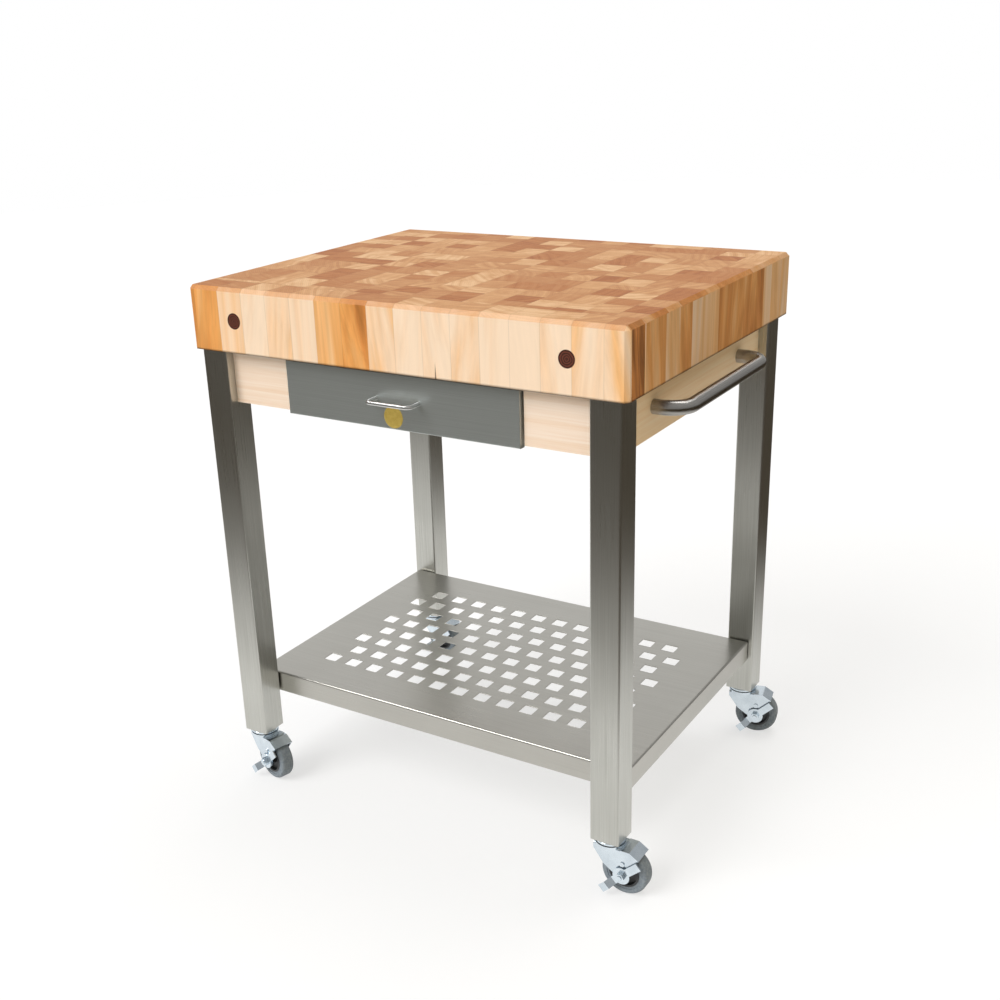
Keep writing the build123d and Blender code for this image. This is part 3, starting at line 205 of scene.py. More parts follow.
# Partly painted shade: the staves behind the front row take a darker tone range than the front row
side_tone_with_shade = add(tree, "ShaderNodeMapRange", {0: dice["Red"], 3: SIDE_TONES_WITH_SHADE[0], 4: SIDE_TONES_WITH_SHADE[1]})
tone = add(tree, "ShaderNodeMix", {0: in_front_row, 2: side_tone_with_shade, 3: front_tone}, data_type="FLOAT")
band_tone = add(tree, "ShaderNodeMapRange", {0: bands, 1: 0.25, 2: 0.75, 3: -BAND_TONE, 4: BAND_TONE})
tone = add(tree, "ShaderNodeMath", {0: tone, 1: band_tone}, operation="ADD")
lean = add(tree, "ShaderNodeMath", {0: axes["Z"], 1: HEARTWOOD_LEAN, 2: axes["Y"]}, operation="MULTIPLY_ADD")
lean_line = add(tree, "ShaderNodeMath", {0: lean, 1: HEARTWOOD_Y, 2: HEARTWOOD_LINE}, operation="COMPARE")
lean_line = add(tree, "ShaderNodeMath", {0: lean_line, 1: heartwood}, operation="MULTIPLY")

# A short drying check at the foot of the front, where the grain has opened
beside_check = add(tree, "ShaderNodeMath", {0: axes["X"], 1: CHECK_PLACE}, operation="SUBTRACT")
beside_check = add(tree, "ShaderNodeMath", {0: beside_check}, operation="ABSOLUTE")
above_foot = add(tree, "ShaderNodeMath", {0: axes["Z"], 1: block_low.z - block_middle.z},
                 operation="SUBTRACT")
check_half = add(tree, "ShaderNodeMapRange", {0: above_foot, 1: 0.0, 2: CHECK_HEIGHT, 3: CHECK_WIDTH, 4: 0.0})
check = add(tree, "ShaderNodeMath", {0: beside_check, 1: check_half}, operation="LESS_THAN")
check = add(tree, "ShaderNodeMath", {0: check, 1: in_front_row}, operation="MULTIPLY")

# Glue lines between the columns, between the staves of a column and behind the front row
column_seam = add(tree, "ShaderNodeMath", {0: across, 1: 0.5}, operation="PINGPONG")
column_seam = add(tree, "ShaderNodeMath", {0: column_seam, 1: column_width}, operation="MULTIPLY")
stave_seam = add(tree, "ShaderNodeMath", {0: seam, 1: STAVE_DEPTH}, operation="MULTIPLY")
stave_seam = add(tree, "ShaderNodeMath", {0: stave_seam, 1: in_front_row}, operation="ADD")
row_seam = add(tree, "ShaderNodeMath", {0: axes["Y"], 1: front_row_back}, operation="SUBTRACT")
row_seam = add(tree, "ShaderNodeMath", {0: row_seam}, operation="ABSOLUTE")
nearest_seam = add(tree, "ShaderNodeMath", {0: column_seam, 1: stave_seam}, operation="MINIMUM")
nearest_seam = add(tree, "ShaderNodeMath", {0: nearest_seam, 1: row_seam}, operation="MINIMUM")
glue = add(tree, "ShaderNodeMapRange", {0: nearest_seam, 1: 0.0, 2: 2 * GLUE_LINE, 3: GLUE_SHADE, 4: 1.0})

# Top, eased edge and sides, told apart by the way they face, with the colours and shades of each
facing = add(tree, "ShaderNodeNewGeometry").node.outputs["Normal"]
upward = add(tree, "ShaderNodeSeparateXYZ", {0: facing}).node.outputs["Z"]
is_top = add(tree, "ShaderNodeMapRange", {0: upward, 1: 0.55, 2: 0.85})
is_eased = add(tree, "ShaderNodeMath", {0: upward, 1: 0.707, 2: 0.1}, operation="COMPARE")
top_tone = add(tree, "ShaderNodeMath", {0: dice["Red"], 1: 0.85, 2: 0.06}, operation="MULTIPLY_ADD")
ring_tone = add(tree, "ShaderNodeMapRange", {0: ring_groups, 1: 0.25, 2: 0.75, 3: -RING_GROUP_TONE,
                                             4: RING_GROUP_TONE})
top_tone = add(tree, "ShaderNodeMath", {0: ring_tone, 1: top_tone}, operation="ADD")
top_tone = add(tree, "ShaderNodeMath", {0: band_tone, 1: 0.5, 2: top_tone}, operation="MULTIPLY_ADD")
top_colour = add(tree, "ShaderNodeValToRGB", {0: top_tone, "stops": [
    (0.0, "#E2B88A"), (0.25, "#CE9A67"), (0.5, "#BE8552"), (0.8, "#B2713A"), (1.0, "#A25F2A")]})
side_colour = add(tree, "ShaderNodeValToRGB", {0: tone, "stops": [
    (0.0, "#F5DBBF"), (0.2, "#F2CEA9"), (0.4, "#EEBA80"), (0.62, "#E6A259"), (0.8, "#CF8540"),
    (1.0, "#945C26")]})
top_shade = add(tree, "ShaderNodeMapRange", {0: pores, 1: 0.3, 2: 0.7, 3: 0.93, 4: 1.07})
top_shade = add(tree, "ShaderNodeMath", {0: rings, 1: RING_SHADE, 2: top_shade}, operation="MULTIPLY_ADD")
streak_depth = add(tree, "ShaderNodeMath", {0: tone, 1: 0.7, 2: 0.2}, operation="MULTIPLY_ADD")
side_shade = add(tree, "ShaderNodeMath", {0: streaks, 1: 0.5}, operation="SUBTRACT")
side_shade = add(tree, "ShaderNodeMath", {0: side_shade, 1: streak_depth, 2: 1.0}, operation="MULTIPLY_ADD")
side_shade = add(tree, "ShaderNodeMath", {0: lean_line, 1: -0.3, 2: side_shade}, operation="MULTIPLY_ADD")
side_shade = add(tree, "ShaderNodeMath", {0: check, 1: -0.75, 2: side_shade}, operation="MULTIPLY_ADD")
shade = add(tree, "ShaderNodeMix", {0: is_top, 2: side_shade, 3: top_shade}, data_type="FLOAT")
shade = add(tree, "ShaderNodeMath", {0: shade, 1: glue}, operation="MULTIPLY")
# Painted shadow: the lowest few millimetres of the sides, and the underside, go dark for the shade under the
# overhang
foot = add(tree, "ShaderNodeMapRange", {0: above_foot, 1: 0.0, 2: PAINTED_SHADOW_HEIGHT, 3: PAINTED_SHADOW_LEVEL, 4: 1.0})
shade = add(tree, "ShaderNodeMath", {0: shade, 1: foot}, operation="MULTIPLY")
colour = add(tree, "ShaderNodeMix", {0: is_top, 6: side_colour, 7: top_colour}, data_type="RGBA")
eased_part = add(tree, "ShaderNodeMath", {0: is_eased, 1: EASED_OIL}, operation="MULTIPLY")
colour = add(tree, "ShaderNodeMix", {0: eased_part, 6: colour, 7: linear("#D08A48")}, data_type="RGBA")
colour = add(tree, "ShaderNodeVectorMath", {0: colour, "Scale": shade}, operation="SCALE")
tree.links.new(colour, sockets["Base Color"])
gloss = add(tree, "ShaderNodeMapRange", {0: pores, 1: 0.3, 2: 0.7, 3: 0.58, 4: 0.45})
tree.links.new(gloss, sockets["Roughness"])
relief = add(tree, "ShaderNodeMix", {0: is_top, 2: streaks, 3: pores}, data_type="FLOAT")
relief = add(tree, "ShaderNodeMath", {0: glue, 1: relief}, operation="ADD")
bump = add(tree, "ShaderNodeBump", {"Height": relief, "Strength": 0.25, "Distance": PORE_RELIEF})
tree.links.new(bump, sockets["Normal"])
paint(oiled_maple, "butcher_block_top")

# Tie rods and plugs: steel rods pull the block together, and round walnut plugs, turned across the
# grain and glued in flush, close their holes at the front and the back.
PLUG_RING_WIDTH = 3.4 * MM
PLUG_WOBBLE = 3 * MM
PLUG_WOBBLE_SIZE = 6 * MM
plugs_low, plugs_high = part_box("rod_plugs")
plug_radius = (plugs_high.z - plugs_low.z) / 2
plug_x = (plugs_high.x - plugs_low.x) / 2 - plug_radius
plug_z = (plugs_high.z + plugs_low.z) / 2


def mottled(name, light, dark, patch, roughness, relief=0.0, **more):
    """A surface whose tone and gloss drift between two colours in patches of one size."""
    material, tree, sockets, coordinates = start_material(name, **more)
    cloud = add(tree, "ShaderNodeTexNoise", {"Vector": coordinates, "Scale": 1 / patch, "Detail": 4.0,
                                             "Roughness": 0.6})
    colour = add(tree, "ShaderNodeValToRGB", {0: cloud, "stops": [(0.35, dark), (0.65, light)]})
    tree.links.new(colour, sockets["Base Color"])
    gloss = add(tree, "ShaderNodeMapRange", {0: cloud, 1: 0.3, 2: 0.7, 3: roughness[0], 4: roughness[1]})
    tree.links.new(gloss, sockets["Roughness"])
    if relief:
        bump = add(tree, "ShaderNodeBump", {"Height": cloud, "Strength": 0.4, "Distance": relief})
        tree.links.new(bump, sockets["Normal"])
    return material


# Oiled walnut: dark brown, with the ring marks of the turned plug about its middle
oiled_walnut, tree, sockets, coordinates = start_material("oiled_walnut", IOR=1.48)
axes = add(tree, "ShaderNodeSeparateXYZ", {0: coordinates}).node.outputs
from_middle = add(tree, "ShaderNodeMath", {0: axes["X"], 1: block_middle.x}, operation="SUBTRACT")
from_middle = add(tree, "ShaderNodeMath", {0: from_middle}, operation="ABSOLUTE")
plug_right = add(tree, "ShaderNodeMath", {0: from_middle, 1: plug_x}, operation="SUBTRACT")
plug_up = add(tree, "ShaderNodeMath", {0: axes["Z"], 1: plug_z}, operation="SUBTRACT")
on_plug = add(tree, "ShaderNodeCombineXYZ", {"X": plug_right, "Y": plug_up})
plug_wobble = add(tree, "ShaderNodeTexNoise", {"Vector": coordinates, "Scale": 1 / PLUG_WOBBLE_SIZE,
                                               "Detail": 3.0})
plug_reach = add(tree, "ShaderNodeVectorMath", {0: on_plug}, operation="LENGTH")
plug_ring = add(tree, "ShaderNodeMath", {0: plug_wobble, 1: PLUG_WOBBLE, 2: plug_reach},
                operation="MULTIPLY_ADD")
plug_ring = add(tree, "ShaderNodeMath", {0: plug_ring, 1: math.tau / PLUG_RING_WIDTH}, operation="MULTIPLY")
plug_ring = add(tree, "ShaderNodeMath", {0: plug_ring}, operation="SINE")
colour = add(tree, "ShaderNodeMapRange", {0: plug_ring, 1: -1.0, 2: 1.0})
colour = add(tree, "ShaderNodeValToRGB", {0: colour, "stops": [(0.0, "#2E130C"), (1.0, "#733B28")]})
tree.links.new(colour, sockets["Base Color"])
gloss = add(tree, "ShaderNodeMapRange", {0: plug_wobble, 1: 0.3, 2: 0.7, 3: 0.55, 4: 0.42})
tree.links.new(gloss, sockets["Roughness"])
bump = add(tree, "ShaderNodeBump", {"Height": plug_ring, "Strength": 0.2, "Distance": 0.1 * MM})
tree.links.new(bump, sockets["Normal"])
paint(oiled_walnut, "rod_plugs")

# Plain cold-drawn steel: grey, with the dull cloudy film of oil that hidden hardware keeps
plain_steel = mottled("cold_drawn_steel", "#B4B5B4", "#8E9090", 6 * MM, (0.42, 0.3), Metallic=1.0)
paint(plain_steel, "tie_rods")

# Legs: square stainless tube, brushed along its length, with a steel plate welded into each foot
# for the caster's stem.
CORNERS = ("front_left", "front_right", "back_left", "back_right")
BRUSH_WIDTH = 1.1 * MM
BRUSH_LENGTH = 170 * MM
SMUDGE_SIZE = 120 * MM


def brushed_steel(name, along, light="#CCCCC6", dark="#BABAB3", roughness=(0.26, 0.36), metallic=1.0):
    """Stainless sheet, brushed along one axis. The brush lines are drawn coarser than they are."""
    material, tree, sockets, coordinates = start_material(name, Metallic=metallic)
    stretch = Vector.Fill(3, 1 / BRUSH_WIDTH)
    stretch["XYZ".index(along)] = 1 / BRUSH_LENGTH
    lines = add(tree, "ShaderNodeVectorMath", {0: coordinates, 1: stretch}, operation="MULTIPLY")
    brush = add(tree, "ShaderNodeTexNoise", {"Vector": lines, "Scale": 1.0, "Detail": 3.0})
    smudge = add(tree, "ShaderNodeTexNoise", {"Vector": coordinates, "Scale": 1 / SMUDGE_SIZE, "Detail": 2.0})
    tint = add(tree, "ShaderNodeMath", {0: smudge, 1: 0.4, 2: brush}, operation="MULTIPLY_ADD")
    colour = add(tree, "ShaderNodeValToRGB", {0: tint, "stops": [(0.45, dark), (0.95, light)]})
    tree.links.new(colour, sockets["Base Color"])
    gloss = add(tree, "ShaderNodeMapRange", {0: tint, 1: 0.45, 2: 0.95, 3: roughness[1], 4: roughness[0]})
    tree.links.new(gloss, sockets["Roughness"])
    bump = add(tree, "ShaderNodeBump", {"Height": brush, "Strength": 0.12, "Distance": 0.05 * MM})
    tree.links.new(bump, sockets["Normal"])
    return material


# Brushed stainless steel: soft grey reflections drawn out by fine lines along each leg
brushed_leg = brushed_steel("stainless_brushed_upright", "Z")
paint(brushed_leg, *(f"leg_{corner}" for corner in CORNERS))
paint(plain_steel, "leg_end_plates")

# Aprons: planed maple boards between the legs, finished with satin lacquer. The front one is in two
# lengths, left and right of the drawer.
BOARD_GRAIN_WIDTH = 7 * MM
BOARD_GRAIN_LENGTH = 420 * MM


def maple_board(name, along, *tones):
    """Flat-sawn maple, pale and even, with faint long grain along one axis in three tones."""
    material, tree, sockets, coordinates = start_material(name, IOR=1.5)
    stretch = Vector.Fill(3, 1 / BOARD_GRAIN_WIDTH)
    stretch["XYZ".index(along)] = 1 / BOARD_GRAIN_LENGTH
    lines = add(tree, "ShaderNodeVectorMath", {0: coordinates, 1: stretch}, operation="MULTIPLY")
    grain = add(tree, "ShaderNodeTexNoise", {"Vector": lines, "Scale": 1.0, "Detail": 5.0, "Roughness": 0.55,
                                             "Distortion": 0.5})
    flecks = add(tree, "ShaderNodeTexNoise", {"Vector": lines, "Scale": 9.0, "Detail": 2.0})
    figure = add(tree, "ShaderNodeMath", {0: flecks, 1: 0.3, 2: grain}, operation="MULTIPLY_ADD")
    colour = add(tree, "ShaderNodeValToRGB", {0: figure, "stops": list(zip((0.35, 0.55, 0.8), tones))})
    tree.links.new(colour, sockets["Base Color"])
    gloss = add(tree, "ShaderNodeMapRange", {0: figure, 1: 0.4, 2: 0.9, 3: 0.5, 4: 0.38})
    tree.links.new(gloss, sockets["Roughness"])
    bump = add(tree, "ShaderNodeBump", {"Height": figure, "Strength": 0.15, "Distance": 0.1 * MM})
    tree.links.new(bump, sockets["Normal"])
    return material


# Lacquered maple: cream to honey, with the grain running along each board. The side boards are tinted
# more honey than the rest, partly painted warm shade for the cart's shaded sides
paint(maple_board("lacquered_maple_across", "X", "#E9C8A6", "#F1D7BE", "#F7E3D0"),
      "apron_front_left", "apron_front_right", "apron_back")
# Partly painted warm shade: the side boards' tones are more honey than the front and back boards'
paint(maple_board("lacquered_maple_deep_shade_tint", "Y", "#E6C090", "#F1CFA2", "#F6DCB6"), "apron_left", "apron_right")

# Corner brackets and wood screws: pressed steel gussets inside the corners that tie legs, aprons and
# block together, each held by plain steel wood screws.
paint(plain_steel, "corner_brackets", "wood_screws")

# Shelf: stainless sheet punched with staggered square holes and folded down on all four sides, held
# off the legs by spacers. The punch leaves a fine rolled rim round each hole.
HOLE_SIDE = 25.4 * MM
HOLE_PITCH = 45 * MM
HOLE_ROWS = 8
HOLE_COLUMNS = 13
RIM_RADIUS = 0.5 * MM
RIM_CORNER = 1.2 * MM
shelf_low, shelf_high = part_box("shelf")


def grow(tree, name, body, slot, **values):
    """Run a geometry tree with its named inputs set, and keep the result as a plain mesh on a body."""
    seed = bpy.data.objects.new(name + ".seed", bpy.data.meshes.new(name + ".seed"))
    scene.collection.objects.link(seed)
    modifier = seed.modifiers.new("tree", "NODES")
    modifier.node_group = tree
    for socket in tree.interface.items_tree:
        if socket.in_out == "INPUT":
            modifier[socket.identifier] = values[socket.name]
    mesh = bpy.data.meshes.new_from_object(seed.evaluated_get(bpy.context.evaluated_depsgraph_get()))
    bpy.data.objects.remove(seed)
    piece = bpy.data.objects.new(name, mesh)
    scene.collection.objects.link(piece)
    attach(piece, body)
    return piece


# Satin stainless steel: warm grey, with blurred reflections of the legs drawn out along the sheet
satin_shelf = brushed_steel("stainless_satin_sheet", "X", "#C2C0B9", "#B8B6AF", (0.27, 0.33))
paint(satin_shelf, "shelf")
paint(plain_steel, "shelf_bolts", "shelf_spacers", "shelf_nuts")

rim_tree = bpy.data.node_groups.new("punched_hole_rims", "GeometryNodeTree")
rim_tree.interface.new_socket("Geometry", in_out="OUTPUT", socket_type="NodeSocketGeometry")
for size_name in ("hole_side", "pitch", "rim_radius", "rim_corner"):
    rim_tree.interface.new_socket(size_name, in_out="INPUT", socket_type="NodeSocketFloat")
for count_name in ("rows", "columns"):
    rim_tree.interface.new_socket(count_name, in_out="INPUT", socket_type="NodeSocketInt")
rim_tree.interface.new_socket("middle", in_out="INPUT", socket_type="NodeSocketVector")
sizes = rim_tree.nodes.new("NodeGroupInput").outputs
outline = add(rim_tree, "GeometryNodeCurvePrimitiveQuadrilateral", {
    "Width": sizes["hole_side"], "Height": sizes["hole_side"]})
outline = add(rim_tree, "GeometryNodeFilletCurve", {
    "Curve": outline, "Radius": sizes["rim_corner"], "Count": 2}, mode="POLY")
wire = add(rim_tree, "GeometryNodeCurvePrimitiveCircle", {"Resolution": 6, "Radius": sizes["rim_radius"]})
rim = add(rim_tree, "GeometryNodeCurveToMesh", {"Curve": outline, "Profile Curve": wire})
half_rows = add(rim_tree, "ShaderNodeMath", {0: sizes["rows"], 1: 2.0}, operation="DIVIDE")
row_pitch = add(rim_tree, "ShaderNodeMath", {0: sizes["pitch"], 1: 2.0}, operation="MULTIPLY")
row_gaps = add(rim_tree, "ShaderNodeMath", {0: half_rows, 1: 1.0}, operation="SUBTRACT")
field_depth = add(rim_tree, "ShaderNodeMath", {0: row_gaps, 1: row_pitch}, operation="MULTIPLY")
fields = rim_tree.nodes.new("GeometryNodeJoinGeometry")
for fewer, stagger in ((0.0, -0.5), (1.0, 0.5)):
    columns = add(rim_tree, "ShaderNodeMath", {0: sizes["columns"], 1: fewer}, operation="SUBTRACT")
    gaps = add(rim_tree, "ShaderNodeMath", {0: columns, 1: 1.0}, operation="SUBTRACT")
    field_width = add(rim_tree, "ShaderNodeMath", {0: gaps, 1: sizes["pitch"]}, operation="MULTIPLY")
    field = add(rim_tree, "GeometryNodeMeshGrid", {
        "Size X": field_width, "Size Y": field_depth, "Vertices X": columns, "Vertices Y": half_rows})
    step = add(rim_tree, "ShaderNodeMath", {0: sizes["pitch"], 1: stagger}, operation="MULTIPLY")
    step = add(rim_tree, "ShaderNodeCombineXYZ", {"Y": step})
    field = add(rim_tree, "GeometryNodeTransform", {"Geometry": field, "Translation": step})
    rim_tree.links.new(field, fields.inputs[0])
rims = add(rim_tree, "GeometryNodeInstanceOnPoints", {"Points": fields.outputs[0], "Instance": rim})
rims = add(rim_tree, "GeometryNodeTransform", {"Geometry": rims, "Translation": sizes["middle"]})
rims = add(rim_tree, "GeometryNodeRealizeInstances", {0: rims})
rims = add(rim_tree, "GeometryNodeSetShadeSmooth", {0: rims})
rims = add(rim_tree, "GeometryNodeSetMaterial", {"Geometry": rims, "Material": satin_shelf})
add(rim_tree, "NodeGroupOutput", {0: rims})
shelf_middle = (shelf_low + shelf_high) / 2
grow(rim_tree, "shelf_hole_rims", "cart_frame", "stainless_sheet", hole_side=HOLE_SIDE, pitch=HOLE_PITCH,
     rim_radius=RIM_RADIUS, rim_corner=RIM_CORNER, rows=HOLE_ROWS, columns=HOLE_COLUMNS,
     middle=(shelf_middle.x, shelf_middle.y, shelf_high.z - 0.6 * RIM_RADIUS))

# Towel bar: round stainless tube bent at both ends, polished round its girth and screwed to the
# right apron from behind.
BAR_DIAMETER = 22 * MM
BAR_BEND = 33.5 * MM


def polish_round(material, piece, along, ends, way, diameter, bend):
    """Draw reflections out along a rod that runs along one axis and is bent at both ends to another."""
    low, high = (corner["XYZ".index(along)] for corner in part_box(piece))
    straight = (high - low - diameter) / 2 - bend
    inner_bend = bend - diameter / 2
    tree = material.node_tree
    coordinates = tree.nodes["Texture Coordinate"].outputs["Object"]
    place = add(tree, "ShaderNodeSeparateXYZ", {0: coordinates}).node.outputs[along]
    place = add(tree, "ShaderNodeMath", {0: place, 1: (low + high) / 2}, operation="SUBTRACT")
    high_end = add(tree, "ShaderNodeMapRange", {0: place, 1: straight, 2: straight + inner_bend, 4: way})
    low_end = add(tree, "ShaderNodeMapRange", {0: place, 1: -straight, 2: -straight - inner_bend, 4: -way})
    turned = add(tree, "ShaderNodeMath", {0: high_end, 1: low_end}, operation="ADD")
    squared = add(tree, "ShaderNodeMath", {0: turned, 1: turned}, operation="MULTIPLY")
    ahead = add(tree, "ShaderNodeMath", {0: 1.0, 1: squared}, operation="SUBTRACT")
    ahead = add(tree, "ShaderNodeMath", {0: ahead, 1: 0.5}, operation="POWER")
    tangent = add(tree, "ShaderNodeCombineXYZ", {along: ahead, ends: turned})
    sockets = tree.nodes["Principled BSDF"].inputs
    tree.links.new(tangent, sockets["Tangent"])
    sockets["Anisotropic"].default_value = 1.0


# Satin stainless tube: bands of light and dark that follow the tube round its bends
satin_bar = brushed_steel("stainless_satin_bar", "Y", "#BDBAB5", "#A9A6A1", (0.24, 0.29))
polish_round(satin_bar, "towel_bar", "Y", "X", -1.0, BAR_DIAMETER, BAR_BEND)
paint(satin_bar, "towel_bar")
paint(plain_steel, "towel_bar_inserts", "towel_bar_screws")

# Drawer: a folded stainless tray that hangs on two steel runners, closed by a brushed panel with
# folded edges.

# Brushed stainless steel: an even, slightly green grey, with lines that run across the panel
brushed_panel = brushed_steel("stainless_brushed_panel", "X", "#CBD1CF", "#BFC5C3", (0.31, 0.38), 0.8)
paint(brushed_panel, "drawer_front", "drawer_tray")
paint(plain_steel, "runner_left", "runner_right")

# Pull: a steel rod bent twice and polished bright round its girth. Two screws hold it from inside the
# drawer.
PULL_DIAMETER = 6.5 * MM
PULL_BEND = 8 * MM

# Polished steel: a white line of light along the rod, with dark lines beside it
polished_rod = mottled("polished_steel_rod", "#F0F0EE", "#E4E4E2", 20 * MM, (0.32, 0.28), Metallic=1.0)
polish_round(polished_rod, "drawer_pull", "X", "Y", 1.0, PULL_DIAMETER, PULL_BEND)
paint(polished_rod, "drawer_pull")
paint(plain_steel, "drawer_pull_screws")

# Seal: a plain disc of gold foil on paper with a pressed border, stuck on the drawer front below the
# pull.
SEAL_RADIUS = 17 * MM
SEAL_GAUGE = 0.35 * MM
SEAL_BORDER = 1.6 * MM
SEAL_PLACE = (-8.5 * MM, -23.5 * MM)
SEAL_STEPS = 96
front_low, front_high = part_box("drawer_front")
seal_x = (front_low.x + front_high.x) / 2 + SEAL_PLACE[0]
seal_z = (front_low.z + front_high.z) / 2 + SEAL_PLACE[1]
seal_profile = (
    (0.0, 0.7), (SEAL_RADIUS - 2 * SEAL_BORDER, 0.7), (SEAL_RADIUS - 1.6 * SEAL_BORDER, 1.0),
    (SEAL_RADIUS - SEAL_BORDER, 1.0), (SEAL_RADIUS - 0.6 * SEAL_BORDER, 0.7),
    (SEAL_RADIUS - 0.2 * SEAL_BORDER, 0.7), (SEAL_RADIUS, 0.4), (SEAL_RADIUS, 0.0), (0.0, 0.0))
shape = bmesh.new()
profile = [shape.verts.new((out, -rise * SEAL_GAUGE, 0.0)) for out, rise in seal_profile]
edges = [shape.edges.new(pair) for pair in zip(profile, profile[1:])]
bmesh.ops.spin(shape, geom=profile + edges, cent=(0, 0, 0), axis=(0, 1, 0), angle=math.tau,
               steps=SEAL_STEPS, use_duplicate=False)
bmesh.ops.remove_doubles(shape, verts=shape.verts, dist=0.001 * MM)
bmesh.ops.recalc_face_normals(shape, faces=shape.faces)
bmesh.ops.translate(shape, verts=shape.verts, vec=(seal_x, front_low.y, seal_z))
seal = bpy.data.objects.new("gold_seal", bpy.data.meshes.new("gold_seal"))
shape.to_mesh(seal.data)
shape.free()
scene.collection.objects.link(seal)

# Gold foil on paper: a soft yellow metal sheen, a little crinkled
gold_foil = mottled("gold_foil_paper", "#E2C76C", "#D2B456", 5 * MM, (0.42, 0.34), relief=0.02 * MM,
                    Metallic=0.45)
seal.data.materials.append(gold_foil)
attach(seal, "drawer")

# Casters: a stem with its bearing cup is screwed into each leg, a pressed fork turns below it on balls,
# and a brake lever on the axle works a flap over the wheel. All the steel is plated with zinc.

# Bright zinc plate: cold white, with a faint bluish cloud
zinc_plate = mottled("bright_zinc_plate", "#DFE9F0", "#D2DDE5", 25 * MM, (0.24, 0.16), Metallic=1.0)
paint(plain_steel, "caster_balls")
for corner in CORNERS:
    paint(zinc_plate, *(f"{piece}_{corner}" for piece in (
        "caster_stem", "caster_fork", "caster_axle", "brake_flap", "brake_lever")))

# Wheels: a moulded polypropylene core, dark and slightly glossy, with a grey soft rubber tread that
# has dust and fine scuffs from the floor.

# Polypropylene is dark with a dull shine, and soft rubber is matt, with a fine dusty mottle
moulded_core = mottled("moulded_polypropylene", "#3A3C3E", "#2C2E30", 12 * MM, (0.5, 0.4), relief=0.02 * MM)
grey_rubber = mottled("grey_soft_rubber", "#8C959B", "#78818A", 4 * MM, (0.75, 0.6), relief=0.08 * MM)
for corner in CORNERS:
    paint(moulded_core, f"wheel_hub_{corner}")
    paint(grey_rubber, f"wheel_tread_{corner}")

# Floor: a wide white sheet. The camera sees it white with the cart's soft shadow, and metal sees it
# lit near the cart, further out to the left, and dim where the room begins.
FLOOR_RADIUS = 9.0
SHADOW_SHARE = 0.38
SHEET_EDGE = (0.6, 1.5)
SHEET_RUN = {"right": 1.15, "left": -0.45}
ROOM_FLOOR = 0.075
floor_mesh = bpy.data.meshes.new("floor")
shape = bmesh.new()
bmesh.ops.create_circle(shape, cap_ends=True, segments=96, radius=FLOOR_RADIUS)
shape.to_mesh(floor_mesh)
shape.free()
floor = bpy.data.objects.new("floor", floor_mesh)
scene.collection.objects.link(floor)

# White paper: plain and matt
white_sheet = bpy.data.materials.new("white_paper_sheet")
white_sheet.use_nodes = True
tree = white_sheet.node_tree
tree.nodes.clear()
rays = tree.nodes.new("ShaderNodeLightPath").outputs
spot = tree.nodes.new("ShaderNodeTexCoord").outputs["Object"]
spot = add(tree, "ShaderNodeSeparateXYZ", {0: spot}).node.outputs
to_right = add(tree, "ShaderNodeMath", {0: spot["X"], 1: SHEET_RUN["right"]}, operation="MULTIPLY")
to_left = add(tree, "ShaderNodeMath", {0: spot["X"], 1: SHEET_RUN["left"]}, operation="MULTIPLY")
sideways = add(tree, "ShaderNodeMath", {0: to_right, 1: to_left}, operation="MAXIMUM")
reach = add(tree, "ShaderNodeCombineXYZ", {"X": sideways, "Y": spot["Y"]})
reach = add(tree, "ShaderNodeVectorMath", {0: reach}, operation="LENGTH")
lit = add(tree, "ShaderNodeMapRange", {0: reach, 1: SHEET_EDGE[0], 2: SHEET_EDGE[1], 3: 1.0, 4: 0.0},
          interpolation_type="SMOOTHSTEP")
paper = add(tree, "ShaderNodeBsdfDiffuse", {"Color": linear("#E8E8E8")})
shadow = add(tree, "ShaderNodeBsdfDiffuse", {"Color": (SHADOW_SHARE, SHADOW_SHARE, SHADOW_SHARE, 1.0)})
white = add(tree, "ShaderNodeEmission", {"Strength": 1 - SHADOW_SHARE})
seen = add(tree, "ShaderNodeAddShader", {0: shadow, 1: white})
dim = add(tree, "ShaderNodeEmission", {"Color": linear("#FFE8C8"), "Strength": ROOM_FLOOR})
mirrored = add(tree, "ShaderNodeMixShader", {0: lit, 1: dim, 2: seen})
in_metal = add(tree, "ShaderNodeMath", {0: rays["Is Glossy Ray"], 1: rays["Is Transmission Ray"]},
               operation="MAXIMUM")
surface = add(tree, "ShaderNodeMixShader", {0: in_metal, 1: paper, 2: mirrored})
surface = add(tree, "ShaderNodeMixShader", {0: rays["Is Camera Ray"], 1: surface, 2: seen})
add(tree, "ShaderNodeOutputMaterial", {"Surface": surface})
floor_mesh.materials.append(white_sheet)

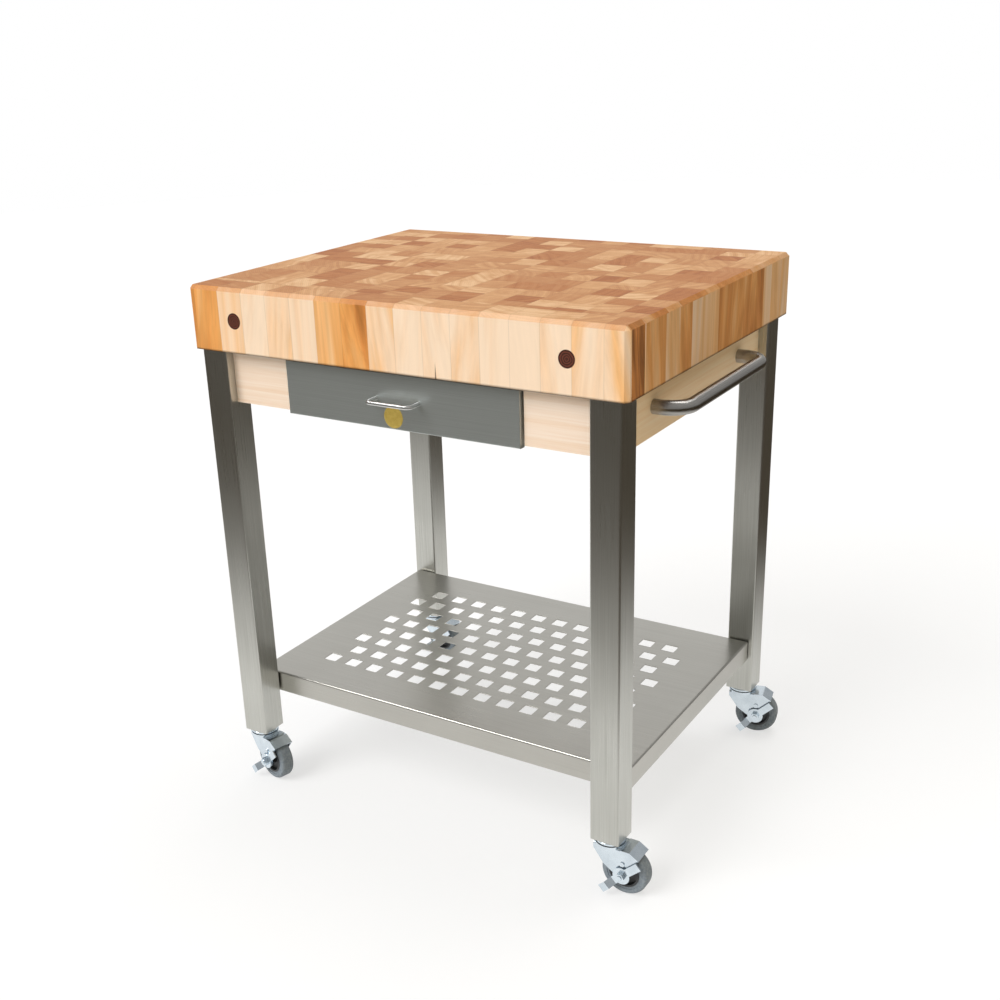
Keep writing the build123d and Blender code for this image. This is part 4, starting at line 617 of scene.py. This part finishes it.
# Light: a broad soft lamp high at the front left, a smaller one overhead behind the cart, one that only
# glints on folds and rods, and a dim room that is warm to the right. A white backdrop stands behind,
# where camera and metal see it.
LAMPS = {
    "soft_key": {"strength": 2.05, "spread": 40, "elevation": 40, "azimuth": -28, "in": "diffuse"},
    "soft_top": {"strength": 0.75, "spread": 30, "elevation": 72, "azimuth": 170, "in": "diffuse glossy"},
    "edge_glint": {"strength": 1.4, "spread": 30, "elevation": 53, "azimuth": -53, "in": "glossy"},
}
ROOM_LEVELS = (0.33, 0.53)
ROOM_TOP = 0.9
ROOM_WARM_SIDE = (0.8, 0.0, -0.6)
ROOM_WARM_EDGE = (-0.5, 0.7)
BACKDROP_DIRECTION = (-0.68, 0.73, 0.0)
BACKDROP_EDGE = (0.52, 0.82)
BACKDROP_IN_METAL = 0.65
for name, sizes in LAMPS.items():
    lamp = bpy.data.objects.new(name, bpy.data.lights.new(name, "SUN"))
    lamp.data.energy = sizes["strength"]
    lamp.data.angle = math.radians(sizes["spread"])
    lamp.rotation_euler = (math.radians(90 - sizes["elevation"]), 0.0, math.radians(sizes["azimuth"]))
    lamp.visible_diffuse = "diffuse" in sizes["in"]
    lamp.visible_glossy = "glossy" in sizes["in"]
    scene.collection.objects.link(lamp)
world = bpy.data.worlds.new("studio")
world.use_nodes = True
scene.world = world
tree = world.node_tree
tree.nodes.clear()
rays = tree.nodes.new("ShaderNodeLightPath").outputs
direction = tree.nodes.new("ShaderNodeTexCoord").outputs["Generated"]
height = add(tree, "ShaderNodeSeparateXYZ", {0: direction}).node.outputs["Z"]
level = add(tree, "ShaderNodeMapRange", {0: height, 2: ROOM_TOP, 3: ROOM_LEVELS[0], 4: ROOM_LEVELS[1]})
warm_side = add(tree, "ShaderNodeVectorMath", {0: direction, 1: ROOM_WARM_SIDE}, operation="DOT_PRODUCT")
tint = add(tree, "ShaderNodeMapRange", {0: warm_side, 1: ROOM_WARM_EDGE[0], 2: ROOM_WARM_EDGE[1]})
matt = add(tree, "ShaderNodeMath", {0: 1.0, 1: rays["Is Glossy Ray"]}, operation="SUBTRACT")
tint = add(tree, "ShaderNodeMath", {0: tint, 1: matt}, operation="MULTIPLY")
tint = add(tree, "ShaderNodeValToRGB", {0: tint, "stops": [(0.0, "#FFFFFF"), (1.0, "#FFE6A4")]})
room = add(tree, "ShaderNodeBackground", {"Color": tint, "Strength": level})
backdrop = add(tree, "ShaderNodeBackground", {"Color": (1.0, 1.0, 1.0, 1.0), "Strength": 1.0})
behind = add(tree, "ShaderNodeVectorMath", {0: direction, 1: BACKDROP_DIRECTION}, operation="DOT_PRODUCT")
behind = add(tree, "ShaderNodeMapRange", {0: behind, 1: BACKDROP_EDGE[0], 2: BACKDROP_EDGE[1],
                                          4: BACKDROP_IN_METAL}, interpolation_type="SMOOTHSTEP")
in_metal = add(tree, "ShaderNodeMath", {0: rays["Is Glossy Ray"], 1: rays["Is Transmission Ray"]},
               operation="MAXIMUM")
in_metal = add(tree, "ShaderNodeMath", {0: in_metal, 1: behind}, operation="MULTIPLY")
seen = add(tree, "ShaderNodeMath", {0: rays["Is Camera Ray"], 1: in_metal}, operation="MAXIMUM")
sky = add(tree, "ShaderNodeMixShader", {0: seen, 1: room, 2: backdrop})
add(tree, "ShaderNodeOutputWorld", {"Surface": sky})

# Camera: from the front right, above the block and looking down on it.
CAMERA_PLACE = (1.06661, -1.76627, 1.24757)
CAMERA_AZIMUTH = math.radians(32.582)
CAMERA_ELEVATION = math.radians(21.527)
CAMERA_ROLL = math.radians(-2.038)
CAMERA_LENS = 46.374
CAMERA_SENSOR = 36.0
CAMERA_SHIFT = (0.02154, 0.03269)
camera = bpy.data.objects.new("camera", bpy.data.cameras.new("camera"))
camera.data.sensor_width = CAMERA_SENSOR
camera.data.lens = CAMERA_LENS
camera.data.shift_x, camera.data.shift_y = CAMERA_SHIFT
camera.matrix_world = (Matrix.Translation(CAMERA_PLACE) @ Matrix.Rotation(CAMERA_AZIMUTH, 4, "Z")
                       @ Matrix.Rotation(math.pi / 2 - CAMERA_ELEVATION, 4, "X")
                       @ Matrix.Rotation(CAMERA_ROLL, 4, "Z"))
scene.collection.objects.link(camera)
scene.camera = camera
scene.view_settings.view_transform = "Standard"
